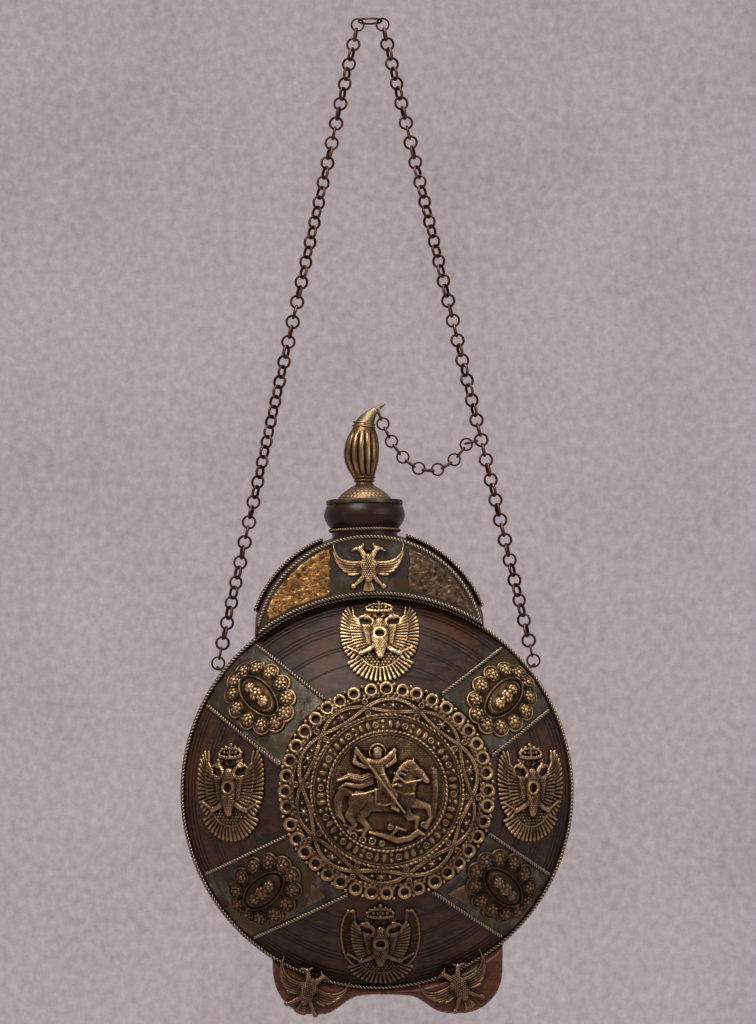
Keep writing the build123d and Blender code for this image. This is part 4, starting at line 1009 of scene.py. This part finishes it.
def rider(r):
    """A plain, generic rider on a prancing horse over a coiled beast."""
    def form(points, radii, low, top, soft=None):
        widest = radii if isinstance(radii, (int, float)) else max(radii)
        r.swell(r.line(points, radii), low, top, soft or widest)

    def groove(points, depth=0.5, width=0.3):
        r.carve(r.line(points, 0.0), depth, width)

    # A post behind, the horse's tail, far legs, body, near legs, neck and head
    form([(22.4, 9.6), (23.0, -1.0), (21.4, -12.0)], 1.5, 0.2, 0.9)
    form([(-17.2, -1.2), (-21.4, 0.6), (-23.6, -4.0), (-23.0, -10.4), (-20.4, -14.4)],
         [1.6, 2.0, 2.2, 1.7, 0.6], 0.4, 1.5)
    for shift in (-1.0, 0.0, 1.0):
        groove([(-17.6, -0.6 + shift), (-21.2 + shift, 0.2), (-23.2 + shift, -4.2), (-22.6 + shift, -10.2)])
    form([(-14.0, -7.0), (-18.2, -11.2), (-15.6, -15.6), (-18.8, -19.4)], [3.6, 2.3, 1.4, 1.1], 0.5, 1.8)
    form([(7.4, -7.4), (10.4, -12.2), (14.0, -12.8), (13.4, -17.6)], [2.9, 1.9, 1.3, 1.1], 0.5, 1.5)
    form([(-13.4, -4.6), (-6.0, -5.2), (1.5, -5.0), (8.0, -3.0)], [5.2, 4.4, 4.6, 5.4], 0.8, 2.4)
    form([(-10.6, -8.0), (-13.0, -12.6), (-9.6, -16.4), (-11.6, -20.2)], [3.4, 2.1, 1.3, 1.1], 0.7, 1.8)
    form([(9.8, -5.0), (15.6, -6.4), (19.2, -7.4), (20.4, -12.6), (18.0, -17.0)], [3.2, 2.0, 1.5, 1.1, 1.4],
         0.7, 1.9)
    form([(8.0, -1.0), (10.2, 4.0), (11.8, 8.4)], [4.8, 3.9, 3.2], 1.2, 2.2)
    form([(12.2, 10.2), (15.6, 8.0), (18.6, 4.8)], [3.0, 2.3, 1.4], 1.8, 1.9)
    form([(12.0, 12.6), (12.4, 15.2)], [1.0, 0.4], 2.2, 1.0)
    form([(13.8, 9.9), (14.0, 9.9)], 0.7, 3.6, 0.6)
    groove([(16.8, 8.8), (15.2, 5.2)], 0.7)
    groove([(12.0, 6.6), (16.2, 4.8)], 0.6)
    groove([(9.0, -6.4), (11.6, -2.0), (10.6, 2.4)], 0.5, 0.4)
    groove([(-9.4, -0.8), (-9.8, -5.8), (-12.6, -9.0)], 0.5, 0.4)
    for share in np.arange(8) / 7:
        x, y = 12.6 - 6.4 * share, 13.0 - 10.6 * share * share
        lock = [(x, y), (x - 2.0, y + 0.9), (x - 4.2, y - 0.3), (x - 5.0, y - 2.2)]
        form(lock, [0.85, 0.85, 0.7, 0.35], 2.6, 1.3)

    # Saddle cloth with its straps, then the rider's cloak
    cloth = r.polygon([(-6.4, 1.6), (3.8, 1.8), (4.8, -5.4), (-0.6, -7.4), (-6.4, -6.6)])
    r.swell(cloth, 2.6, 0.8, 0.7)
    r.swell(np.abs(cloth + 0.8) - 0.35, 3.4, 0.7, 0.35)
    form([(3.8, 0.4), (8.0, -1.6), (12.4, -1.2)], 0.5, 3.4, 0.6)
    form([(-6.2, 0.4), (-11.0, -1.0), (-16.6, -1.6)], 0.5, 3.0, 0.6)
    form([(-6.4, 7.4), (-12.0, 5.6), (-18.0, 7.2), (-23.6, 5.2)], [2.2, 2.1, 1.7, 0.7], 1.0, 1.8)
    form([(-7.2, 4.6), (-13.0, 2.2), (-19.4, 3.6), (-23.4, 1.6)], [1.6, 1.4, 1.0, 0.4], 0.9, 1.5)
    for shift in (-0.9, 0.3, 1.3):
        groove([(-7.4, 7.4 + shift), (-12.4, 5.4 + shift), (-18.2, 7.0 + shift), (-22.6, 5.6 + shift)], 0.7)

    # The rider's leg, trunk, belt and both arms
    form([(-0.6, 1.4), (3.2, -2.2), (2.6, -7.4), (4.8, -8.8)], [2.5, 2.0, 1.3, 1.0], 3.2, 1.6)
    form([(-4.6, 12.2), (-3.4, 7.6), (-1.4, 2.4)], [3.2, 2.6, 3.2], 2.8, 2.2)
    for shift in (-1.5, -0.5, 0.5, 1.5):
        groove([(-3.4 + 0.4 * shift, 8.0), (-1.6 + 1.6 * shift, 0.4)], 0.6)
    form([(-5.6, 6.8), (-1.2, 7.8)], 0.6, 4.4, 0.6)
    form([(-5.2, 12.8), (-10.4, 14.2), (-14.4, 18.6)], [1.9, 1.7, 1.2], 3.2, 1.9)
    form([(-14.6, 18.8), (-15.4, 13.8), (-10.4, 11.6), (-5.8, 11.4)], [0.7, 1.2, 1.1, 0.9], 2.4, 1.5)
    form([(-3.8, 12.8), (0.0, 15.2), (3.4, 19.0)], [1.9, 1.7, 1.2], 3.2, 1.9)
    form([(3.4, 18.6), (3.4, 14.4), (-0.4, 11.8)], [0.7, 1.2, 1.0], 2.4, 1.5)
    groove([(-13.8, 17.0), (-10.0, 13.4), (-5.8, 12.2)], 0.6)
    groove([(2.8, 17.2), (-0.2, 14.2), (-3.4, 12.2)], 0.6)

    # Halo, head and hair, then the spear and the reins
    r.swell(r.ring(-4.5, 18.4, 3.7, 0.5), 1.6, 0.8, 0.5)
    form([(-4.5, 16.8), (-4.5, 18.2)], 2.0, 3.0, 1.9)
    form([(-6.0, 19.2), (-4.5, 20.2), (-3.0, 19.2)], 0.7, 4.0, 0.9)
    form([(-14.4, 20.2), (-5.8, 8.6), (3.4, -4.0), (7.8, -10.0)], [0.55, 0.6, 0.6, 0.45], 4.9, 0.9)
    form([(3.2, 8.4), (8.4, 3.8), (15.6, 5.0)], 0.45, 4.2, 0.6)

    # The beast on the ground and the curls round it
    form([(-8.6, -19.2), (-2.0, -20.8), (4.6, -23.2), (10.4, -22.2), (14.4, -19.2), (17.0, -20.4)],
         [0.7, 1.3, 1.6, 1.5, 1.6, 0.7], 0.7, 1.9)
    form([(2.0, -20.6), (4.4, -17.2), (8.2, -18.4)], [0.9, 1.0, 0.5], 0.8, 1.3)
    form([(-20.6, -15.6), (-14.0, -18.6), (-8.0, -17.6)], 0.5, 0.5, 0.8)
    curls = ((-16.2, -21.0, 1.5), (-12.0, -22.8, 1.4), (-7.4, -23.4, 1.4), (-2.8, -24.6, 1.1),
             (1.2, -17.0, 1.1), (16.8, -16.0, 1.0))
    for x, y, q in curls:
        r.swell(r.ring(x, y, q, 0.5), 0.5, 1.2, 0.5)
        r.swell(r.disc(x, y, 0.5), 0.5, 0.9, 0.5)


def loop_border(r, count, field_r):
    """A pierced border of uneven cast loops with beads between them, round a disc."""
    uneven = np.random.default_rng(11)
    holes = []
    for k in range(count):
        angle = 2 * math.pi * k / count + uneven.uniform(-0.012, 0.012)
        ring = field_r + 2.8 + uneven.uniform(-0.25, 0.25)
        x, y, q = ring * math.cos(angle), ring * math.sin(angle), uneven.uniform(2.5, 2.85)
        loop = r.ring(x, y, q, 1.15)
        r.edge = np.minimum(r.edge, loop)
        r.swell(loop, 0.4, uneven.uniform(1.2, 1.7), 1.15)
        holes.append(r.disc(x, y, q - uneven.uniform(1.1, 1.7)))
        for radius, size, top in ((51.1, 1.05, 1.2), (46.2, 1.2, 1.4)):
            turn = angle + math.pi / count + uneven.uniform(-0.01, 0.01)
            r.cast(r.disc(radius * math.cos(turn), radius * math.sin(turn), size), 0.6, top, size)
        turn = angle + uneven.uniform(-0.03, 0.03)
        r.cast(r.disc(50.9 * math.cos(turn), 50.9 * math.sin(turn), 0.9), 1.2, 0.9, 0.9)
    for hole in holes:
        r.pierce(hole)


def interlace(r, rho, phi, radius):
    """Two wavy bands that cross ten times, with curls beside each crossing and a flower in each oval."""
    wave, lobes, phase = 3.05, 5, 0.4
    for sign in (1, -1):
        middle = radius + sign * wave * np.sin(lobes * phi + phase)
        slope = wave * lobes * np.cos(lobes * phi + phase) / radius
        inside = (rho > 36.5) & (rho < 44.8)
        d = np.where(inside, np.abs(rho - middle) / np.sqrt(1 + slope ** 2), 99)
        r.swell(d - 0.85, 1.2 + 0.12 * sign, 0.7, 0.45)
        r.carve(d, 0.4, 0.26)
    for k in range(2 * lobes):
        angle = (math.pi * k - phase) / lobes
        for curl_radius in (43.6, 37.9):
            x, y = curl_radius * math.cos(angle), curl_radius * math.sin(angle)
            r.swell(r.ring(x, y, 1.15, 0.42), 1.0, 0.9, 0.42)
            r.swell(r.disc(x, y, 0.5), 1.0, 0.8, 0.5)
        middle = angle + math.pi / 10
        for shift, size in ((0.0, 1.0), (0.105, 0.75), (-0.105, 0.75)):
            spot = middle + shift
            r.swell(r.disc(radius * math.cos(spot), radius * math.sin(spot), size), 1.1, 1.0, 0.9)
        x, y = radius * math.cos(middle), radius * math.sin(middle)
        for petal in range(6):
            c, s = math.cos(petal * math.pi / 3 + middle), math.sin(petal * math.pi / 3 + middle)
            r.swell(r.bar((x + 1.3 * c, y + 1.3 * s), (x + 2.3 * c, y + 2.3 * s), 0.45, 0.3), 1.0, 0.6, 0.4)


def leaf_band(r, rho, phi, radius, cells):
    """A band of cells in fours: two plain leaves, a pair of beads and a ringed dot."""
    local = (phi / (2 * math.pi) * cells) % 1 - 0.5
    which = np.floor(phi / (2 * math.pi) * cells).astype(int) % 4
    across = local * 2 * math.pi * radius / cells
    leaf = np.hypot(across / 1.25, (rho - radius) / 2.3) - 1
    r.swell(np.where(which < 2, leaf, 9), 1.1, 0.75, 0.7)
    for middle in (radius - 1.5, radius + 1.5):
        bead = np.hypot(across, rho - middle) - 1.05
        r.swell(np.where(which == 2, bead, 9), 1.1, 0.8, 1.0)
    dot = np.hypot(across, rho - radius)
    r.swell(np.where(which == 3, np.abs(dot - 1.25) - 0.45, 9), 1.1, 0.8, 0.45)
    r.swell(np.where(which == 3, dot - 0.55, 9), 1.1, 0.8, 0.55)


def medallion(step):
    """A large cast disc: a pierced border, ropes, a band of interlaced ovals, a leaf band and a rider."""
    field_r, half = 45.6, 52.4
    r = Relief(half, half, step)
    rho, phi = np.hypot(r.x, r.y), np.arctan2(r.y, r.x)
    r.plate(rho - field_r)
    r.height = np.where(rho < field_r, 0.7 + 0.9 * np.clip(1 - (rho / 44) ** 2, 0, 1), 0)
    loop_border(r, 40, field_r)
    rope(r, rho, phi, 45.0, 0.75, 118, 0.9, 1.1)
    interlace(r, rho, phi, 40.7)
    r.stipple(np.where((rho > 37.4) & (rho < 44.0), -1, 1), 1.25, 0.5, 0.34)
    rope(r, rho, phi, 36.2, 0.7, 100, 1.1, 1.1, -1.0)
    r.swell(np.abs(rho - 34.9) - 0.35, 1.2, 0.5, 0.35)
    leaf_band(r, rho, phi, 31.6, 56)
    rope(r, rho, phi, 28.3, 0.75, 84, 1.3, 1.2)
    r.swell(np.abs(rho - 26.9) - 0.3, 1.5, 0.4, 0.3)
    inner = rho - 26.4
    r.height = np.where(inner < 0, 1.35, r.height)
    r.stipple(np.maximum(inner + 0.6, 2.0 - r.y), 1.15, 0.45, 0.22)
    figure = copy.copy(r)
    figure.height = np.zeros_like(r.height)
    rider(figure)
    raised = (figure.height > 0) & (rho < 27.0)
    r.height = np.where(raised, r.height + figure.height * 0.60, r.height)
    r.height += 0.10 * rough_field(r.x, r.y, 12, (3.4, 1.9, 1.2), (0.7, 0.8, 0.7))
    return r


part = relief_part(medallion(0.34), on_dome(*MEDALLION), SEAT, 0.3, 0.85)
both_faces("cast_medallion", [part], "old_brass", "medallion")


# Twisted wires
def dome_line(points_xz, lift):
    """Points on the front dome, raised by a height, from points in the flask's front plane."""
    x, z = points_xz[:, 0], points_xz[:, 1]
    return np.stack([x, DOME_Y - np.sqrt((DOME_R + lift) ** 2 - x ** 2 - z ** 2), z], 1)


def unit(degrees):
    """The direction at an angle in the flask's front plane."""
    return np.array([math.cos(math.radians(degrees)), math.sin(math.radians(degrees))])


def band_axes(angle, direction):
    """Where a corner plate's middle line starts at the rim, the way inward and the way across."""
    outer = BAND_RIM * unit(angle)
    inward = -np.sign(outer) * unit(direction)
    return outer, inward, np.array([-inward[1], inward[0]])


# Each corner plate's angle at the rim and the direction of its middle line, in degrees
plate_angles = {"upper_left": (140.8, 39.0), "upper_right": (36.4, 36.6),
                "lower_left": (216.8, 25.4), "lower_right": (-38.0, 35.0)}
parts = []
for angle, direction in plate_angles.values():
    outer, inward, across = band_axes(angle, direction)
    for side in (-1, 1):
        offset = outer @ across + side * (BAND_WIDTH / 2 + WIRE)
        far = -math.sqrt(93.4 ** 2 - offset ** 2)
        miss = MEDALLION @ across - offset
        near = MEDALLION @ inward - math.sqrt((MEDALLION_R + 1.2) ** 2 - miss ** 2)
        line = across * offset + inward * np.linspace(far, near, 60)[:, None]
        parts += twisted(dome_line(line, WIRE + 0.05), WIRE, 3.4)
both_faces("plate_twists", parts, "twisted_wire", "plate_wires")

parts = twisted(circle_points(56.35, -18.5, 13.0, 167.0, YOKE_X, YOKE_Z), WIRE, 3.4)
parts += twisted(circle_points(97.4, -18.5, 57.9, 126.4), WIRE, 3.4)
both_faces("shoulder_twists", parts, "twisted_wire", "shoulder_wires")

a = np.radians(np.linspace(0, 360, 241))[:-1]
neck_circle = [NECK_X + NECK_WIRE_R * np.cos(a), NECK_WIRE_R * np.sin(a), np.full(len(a), NECK_WIRE_Z)]
parts = twisted(np.stack(neck_circle, 1), 0.95, 3.0, True, (0, 0, 1))
make_piece("neck_twist", parts, "twisted_wire", ("neck_wire",))


# Plates, gold patches and inlays
def dents(r, seed, count, low, high, depth):
    """Scatter shallow hammer marks over a relief."""
    dent_rng = np.random.default_rng(seed)
    for _ in range(count):
        x, y = dent_rng.uniform(r.x.min(), r.x.max()), dent_rng.uniform(r.y.min(), r.y.max())
        size = dent_rng.uniform(low, high)
        mark = np.exp(-((r.x - x) ** 2 + (r.y - y) ** 2) / size ** 2)
        r.height += dent_rng.uniform(-1, 0.7) * depth * mark


def crescent(r, top, low):
    """The distance to the shoulder's outline between the yoke's top radius and a radius round the flask."""
    return np.maximum(np.hypot(r.x - YOKE_X, r.y - YOKE_Z) - top, low - np.hypot(r.x, r.y))


# One frame for the whole front dome, for pieces drawn in the flask's front plane
WHOLE_DOME = on_dome(0, 0.001)
backs = []
for number, (corner, (angle, direction)) in enumerate(plate_angles.items()):
    outer, inward, across = band_axes(angle, direction)
    middle = outer + inward * 31.0
    r = Relief(41, 41, 0.5, middle[0], middle[1])
    px, py = r.x - outer[0], r.y - outer[1]
    off, along = px * across[0] + py * across[1], px * inward[0] + py * inward[1]
    d = np.maximum(np.abs(off) - BAND_WIDTH / 2, along - 62)
    d = np.maximum(d, np.hypot(r.x, r.y) - PLATE_RIM)
    d = np.maximum(d, MEDALLION_R + 0.35 - np.hypot(r.x - MEDALLION[0], r.y - MEDALLION[1]))
    r.plate(d)
    dents(r, 60 + number, 46, 1.5, 4.5, 0.16)
    r.height += 0.06 * rough_field(r.x, r.y, 70 + number, (7, 3.2), (1, 0.6))
    part = relief_part(r, WHOLE_DOME, 0.85, 0.15, 0.3)
    make_piece(f"hammered_plate_{corner}", [part], "pewter", (f"corner_plate_{corner}",))
    backs.append(part)
make_piece("hammered_plates_back", mirrored(backs), "pewter", ("corner_plates_back",))

r = Relief(56, 24, 0.4, YOKE_X, 100.0)
r.plate(np.maximum(crescent(r, 55.6, 98.0), np.abs(r.x - YOKE_X) - 54.9))
dents(r, 81, 60, 1.5, 5.0, 0.12)
part = relief_part(r, on_flat(0, -YOKE_FACE, 0), 0.75, 0.0, 0.3)
both_faces("shoulder_sheet", [part], "pewter", "shoulder_plate")

# The left patch takes the gold painted lit, as if it caught the light; the right patch and the backs take the
# plainer, darker gold.
backs = []
for name, low_x, high_x, seed, strength, gold in (("left", -53.5, -22.5, 5, 1.0, "gold_painted_lit"),
                                                  ("right", 16.5, 47.5, 6, 0.9, "dull_gold")):
    r = Relief((high_x - low_x) / 2 + 2, 17, 0.26, (high_x + low_x) / 2, 102.0)
    sides = np.maximum(low_x - r.x, r.x - high_x)
    ragged = 1.1 * rough_field(r.x, r.y, seed, (14, 6, 2.6), (1, 0.7, 0.4))
    r.plate(np.maximum(crescent(r, 54.4, 99.2) + 0.25 * ragged, sides + ragged), 0.35, 1.2)
    creases = rough_field(r.x, r.y, seed + 10, (14, 6.0, 2.6, 1.3), (1.2, 1.3, 1.2, 0.8))
    r.height += 0.16 * creases * strength
    dents(r, seed + 20, 90, 0.4, 1.3, 0.75)
    r.height = np.maximum(r.height, 0.02)
    part = relief_part(r, on_flat(0, -YOKE_FACE - 0.75, 0), 0.12, -0.2, 0.5)
    make_piece(f"gold_patch_{name}", [part], gold)
    backs.append(part)
make_piece("gold_patches_back", mirrored(backs), "dull_gold")

parts = []
inlays = ([(-31.5, -43.8), (-25.4, -49.6), (-34.2, -54.0)], [(43.6, -44.2), (34.0, -48.8), (42.6, -54.0)])
for points in inlays:
    r = Relief(7.0, 7.0, 0.25, sum(q[0] for q in points) / 3, sum(q[1] for q in points) / 3)
    ragged = 0.3 * rough_field(r.x, r.y, 90, (3.0, 1.4), (1, 0.6))
    r.plate(r.polygon(points) - 0.4 + ragged, 0.35, 0.8)
    parts.append(relief_part(r, WHOLE_DOME, 1.05, 0.5, 0.4))
both_faces("gold_inlays", parts, "dull_gold")


# Stamped bands over the shoulder
def stamped_strip(length, half_width, step, seed):
    """A strip with rows of small stamped scales between raised borders."""
    pitch, row_pitch = 2.9, 2.6
    r = Relief(length / 2, half_width, step, length / 2, 0.0)
    r.plate(np.maximum(np.abs(r.y) - half_width + step, np.abs(r.x - length / 2) - length / 2 + step))
    for row in range(-3, 4):
        local = ((r.x / pitch + 0.5 * (row % 2)) % 1 - 0.5) * pitch
        r.add(np.hypot(local, r.y - row * row_pitch) - 1.25, 0.32, 1.0)
    r.add(np.abs(np.abs(r.y) - half_width + 1.3) - 0.5, 0.3, 0.45)
    r.height += 0.05 * rough_field(r.x, r.y, seed, (9, 4), (1, 0.6))
    return r


edges = []
for name, start, end in (("left", 112.5, 160.0), ("right", 21.5, 72.0)):
    strip = stamped_strip(math.radians(end - start) * 60.0, 10.9, 0.36, 4)
    verts, faces, rub = relief_part(strip, on_cylinder(59.75, YOKE_X, YOKE_Z, start), SEAT, 0.0, 0.4)
    part = verts, [f[:, ::-1] for f in faces], rub
    make_piece(f"stamped_band_{name}", [part], "band_metal", (f"shoulder_band_{name}",))
    edges += twisted(circle_points(60.2, -11.7, start, end, YOKE_X, YOKE_Z), 0.95, 3.0)
make_piece("band_twists", edges + mirrored(edges), "twisted_wire")


# Turned and fluted pieces of the stopper
def lathe(profile, segments, wave=None):
    """A closed form turned about the neck's axis from (radius, height) pairs. Wave bends it round the axis."""
    phi = np.linspace(0, 2 * np.pi, segments, endpoint=False)
    radius = np.repeat(profile[:, :1], segments, 1)
    rub = np.full(radius.shape, 0.5)
    if wave is not None:
        change = wave(phi[None, :], profile[:, 1:2])
        radius = radius + change
        rub = np.clip(0.55 + change * 0.7, 0, 1)
    height = np.repeat(profile[:, 1:2], segments, 1)
    verts = np.stack([NECK_X + radius * np.cos(phi), radius * np.sin(phi), height], 2).reshape(-1, 3)
    verts = np.vstack([verts, [NECK_X, 0, profile[0, 1]], [NECK_X, 0, profile[-1, 1]]])
    faces = [ring_quads(len(profile), segments, False), end_fans(len(profile), segments)]
    return verts, faces, np.concatenate([rub.ravel(), [0.3, 0.3]])


def smooth_profile(points, count):
    """A smooth line with evenly spread points through a few given ones."""
    points = np.asarray(points, float)
    padded = np.vstack([2 * points[0] - points[1], points, 2 * points[-1] - points[-2]])
    out = []
    for f in np.linspace(0, 1, count):
        k = min(int(f * (len(points) - 1)), len(points) - 2)
        u = f * (len(points) - 1) - k
        p0, p1, p2, p3 = padded[k:k + 4]
        bend = (2 * p0 - 5 * p1 + 4 * p2 - p3) * u ** 2 + (3 * p1 - p0 - 3 * p2 + p3) * u ** 3
        out.append(0.5 * (2 * p1 + (p2 - p0) * u + bend))
    return np.array(out)


def flutes(phi, z):
    """Long gadroons that fade out towards both ends of the grip."""
    fade = np.clip((z - 155.5) / 4, 0, 1) * np.clip((179.2 - z) / 2.5, 0, 1)
    lobe = np.abs(np.sin(7 * phi + 0.03 * (z - 165)))
    return fade * (np.sqrt(lobe) - 0.78) * 1.35


def leaning(part):
    """The grip bends gently to the left between its foot and its top."""
    verts, faces, rub = part
    rise = np.clip((verts[:, 2] - 155) / 26, 0, 1)
    return verts + np.stack([-1.3 * np.sin(np.pi * rise ** 0.8), 0 * rise, 0 * rise], 1), faces, rub


def dotted(phi, z):
    """Punched dots in rows round the dome."""
    out = np.zeros(np.broadcast(phi, z).shape)
    for row, (height, count) in enumerate(((146.1, 40), (147.6, 34), (149.0, 28), (150.4, 22))):
        local = ((phi / (2 * np.pi) * count + 0.5 * (row % 2)) % 1 - 0.5) * 2 * np.pi * 10 / count
        out = out + 0.28 * np.exp(-(local ** 2 + ((z - height) * 1.2) ** 2) / 0.22)
    return out


UP = (0, 0, 1)
# Profiles as (radius, height) pairs
grip_line = [(3.9, 153.75), (4.7, 155.0), (6.4, 158.6), (8.2, 163.4), (8.7, 168.2), (8.3, 173.0),
             (7.1, 177.4), (5.9, 180.2), (5.5, 181.25)]
dome_profile = [(13.3, 144.6), (13.25, 145.4), (12.6, 146.3), (11.0, 148.0), (8.6, 149.8), (6.4, 151.2),
                (4.7, 152.4), (4.0, 153.8)]
flange_line = [(18.2, 142.12), (18.9, 142.3), (19.15, 142.8), (19.15, 143.9), (18.9, 144.4), (18.3, 144.58),
               (16.6, 144.45), (15.6, 144.3), (13.2, 144.3)]

parts = [leaning(lathe(smooth_profile(grip_line, 90), 168, flutes))]
for z, q, wire in ((154.4, 4.75, 0.62), (156.0, 5.45, 0.38)):
    parts.append(torus((NECK_X, 0, z), UP, q, wire, 60, 9))
make_piece("fluted_grip", parts, "gilt", ("stopper_grip",), "stopper")
parts = []
for z, q, wire, tip in ((181.6, 5.45, 0.5, 0.10), (183.2, 5.35, 0.42, 0.14)):
    parts.append(torus((NECK_X + 0.125 * (z - 181.3), 0, z), (tip, 0, 1), q, wire, 60, 9))
make_piece("beak_bands", parts, "dome_brass", (), "stopper")
parts = [lathe(smooth_profile(dome_profile, 60), 240, dotted),
         torus((NECK_X, 0, 144.95), UP, 13.3, 0.42, 90, 9)]
make_piece("punched_dome", parts, "dome_brass", ("stopper_dome",), "stopper")
parts = [lathe(smooth_profile(flange_line, 48), 120)]
make_piece("disc_flange", parts, "flange_metal", ("stopper_flange",), "stopper")


# Feet: the radius they sit on round the rim, half their depth and how far their edges are rounded
FOOT_SEAT_R, FOOT_HALF, FOOT_ROUND, FOOT_CROWN = 97.15, 12.3, 3.4, 3.6


def foot_relief(points, step=0.55):
    """The outline of a foot, rounded all round, hollowed where it sits on the rim."""
    (x0, y0), (x1, y1) = np.min(points, 0), np.max(points, 0)
    r = Relief((x1 - x0) / 2 + 1, (y1 - y0) / 2 + 1, step, (x1 + x0) / 2, (y1 + y0) / 2)
    r.edge = np.maximum(r.polygon(points), FOOT_SEAT_R - np.hypot(r.x, r.y))
    r.height = FOOT_CROWN * rounded(r.edge, FOOT_ROUND)
    return r


# Each foot's lower outline, then the corners inside the rim that close it
left_foot = [(-52.0, -70.0), (-52.0, -80.0), (-51.8, -89.0), (-50.0, -96.6), (-45.6, -103.2), (-39.4, -107.6),
             (-32.0, -108.8), (-25.4, -108.4), (-20.0, -105.6), (-14.6, -101.8), (-9.0, -99.8), (3.0, -99.4)]
right_foot = [(61.0, -70.0), (61.0, -80.0), (60.8, -88.0), (59.6, -95.0), (56.0, -101.4), (50.0, -106.4),
              (43.0, -108.6), (35.0, -108.8), (28.0, -107.2), (21.6, -103.0), (15.6, -100.2), (2.0, -99.4)]
for name, outline, closing in (("left", left_foot, [(3.0, -90.0), (-20.0, -70.0)]),
                               ("right", right_foot, [(2.0, -90.0), (24.0, -70.0)])):
    r = foot_relief([tuple(q) for q in smooth_profile(outline, 70)] + closing)
    r.edge = np.maximum(r.edge, r.x - 2.4 if name == "left" else 2.5 - r.x)
    verts, faces, _ = relief_part(r, on_flat(0, 0, 0), FOOT_HALF, 0.0, 3.0, double=True)
    part = verts, faces, np.full(len(verts), 0.5)
    make_piece(f"lobed_foot_{name}", [part], "foot_wood", (f"foot_{name}",))


# Finish of the CAD nodes that stay; the others are hidden by the pieces that replace them
finishes = {"rim_strip": "rim_metal", "stopper_cap": "horn_plain", "stopper_spindle": "iron_plain",
            "lug_left": "iron_plain", "lug_right": "iron_plain"}
for row in frame["record"]["subparts"]:
    mesh = nodes[row["node"]].data
    mesh.materials.clear()
    mesh.materials.append(M[finishes.get(row["node"], row["material_slot"])])


# Stage, light and camera, in metres
def stage_sweep():
    """A pale floor that curves up into pale walls, far enough off to see the flask from every side."""
    floor_z, wall_y, bend, half_width, wall_top = -1.1, 3.0, 0.25, 6.0, 3.5
    half = [(0.0, floor_z), (wall_y - bend, floor_z)]
    for turn in np.radians(np.arange(6, 91, 6)):
        half.append((wall_y - bend + bend * math.sin(turn), floor_z + bend - bend * math.cos(turn)))
    half += [(wall_y, 0.4), (wall_y, wall_top)]
    profile = [(-y, z) for y, z in half[:0:-1]] + half
    verts = [(x, y, z) for x in (-half_width, half_width) for y, z in profile]
    n = len(profile)
    mesh = bpy.data.meshes.new("sweep")
    mesh.from_pydata(verts, [], [(i, i + 1, n + i + 1, n + i) for i in range(n - 1)])
    for polygon in mesh.polygons:
        polygon.use_smooth = True
    mat, tree, shader = new_material("pale_sweep")
    shader.inputs["Roughness"].default_value = 0.9
    vec = coordinates(tree)
    broad, fine = noise(tree, vec, 0.004), noise(tree, vec, 0.075)
    dark, middle, light = rgb(150, 140, 143), rgb(169, 159, 162), rgb(187, 178, 181)
    colour = ramp(tree, weighed(tree, (broad, 0.3), (fine, 0.7)), (0.3, dark), (0.5, middle), (0.7, light))
    tree.links.new(colour, shader.inputs["Base Color"])
    tree.links.new(colour, shader.inputs["Emission Color"])
    shader.inputs["Emission Strength"].default_value = 0.5
    bump(tree, shader, fine, 0.6, 0.004)
    mesh.materials.append(mat)
    obj = bpy.data.objects.new("sweep", mesh)
    scene.collection.objects.link(obj)


def area_light(name, place, target, size, power, colour):
    light = bpy.data.lights.new(name, "AREA")
    light.shape = "RECTANGLE"
    light.size, light.size_y = size
    light.energy = power
    light.color = colour
    obj = bpy.data.objects.new(name, light)
    obj.location = place
    obj.rotation_euler = (Vector(target) - Vector(place)).to_track_quat("-Z", "Y").to_euler()
    scene.collection.objects.link(obj)


stage_sweep()
FLASK = (0, 0, -0.33)
area_light("key", (-0.55, -1.25, 1.05), FLASK, (0.9, 0.7), 22, (1.0, 0.95, 0.92))
area_light("fill", (1.3, -1.1, 0.1), FLASK, (1.0, 1.2), 6, (0.92, 0.94, 1.0))
area_light("top", (0.1, -0.1, 1.2), (0, 0.05, -0.4), (1.2, 0.8), 13, (1.0, 0.97, 0.95))
world = bpy.data.worlds.new("studio")
world.use_nodes = True
background = world.node_tree.nodes["Background"]
background.inputs["Color"].default_value = (0.80, 0.78, 0.785, 1)
background.inputs["Strength"].default_value = 0.36
scene.world = world
scene.view_settings.view_transform = "Standard"

# The picture is 0.512 m tall at the flask, and turned a little, as the photograph is.
PICTURE_HEIGHT, SENSOR, ROLL = 0.512, 36, -0.52
EYE, AIM = Vector((0.0, -1.5, -0.345)), Vector((0.00175, 0.0, -0.2486))
camera_data = bpy.data.cameras.new("camera")
camera = bpy.data.objects.new("camera", camera_data)
scene.collection.objects.link(camera)
direction = AIM - EYE
camera.location = EYE
straight = direction.to_track_quat("-Z", "Y").to_matrix()
camera.rotation_euler = (straight @ Matrix.Rotation(math.radians(ROLL), 3, "Z")).to_euler()
camera_data.sensor_fit = "VERTICAL"
camera_data.sensor_height = SENSOR
camera_data.lens = SENSOR * direction.length / PICTURE_HEIGHT
scene.camera = camera
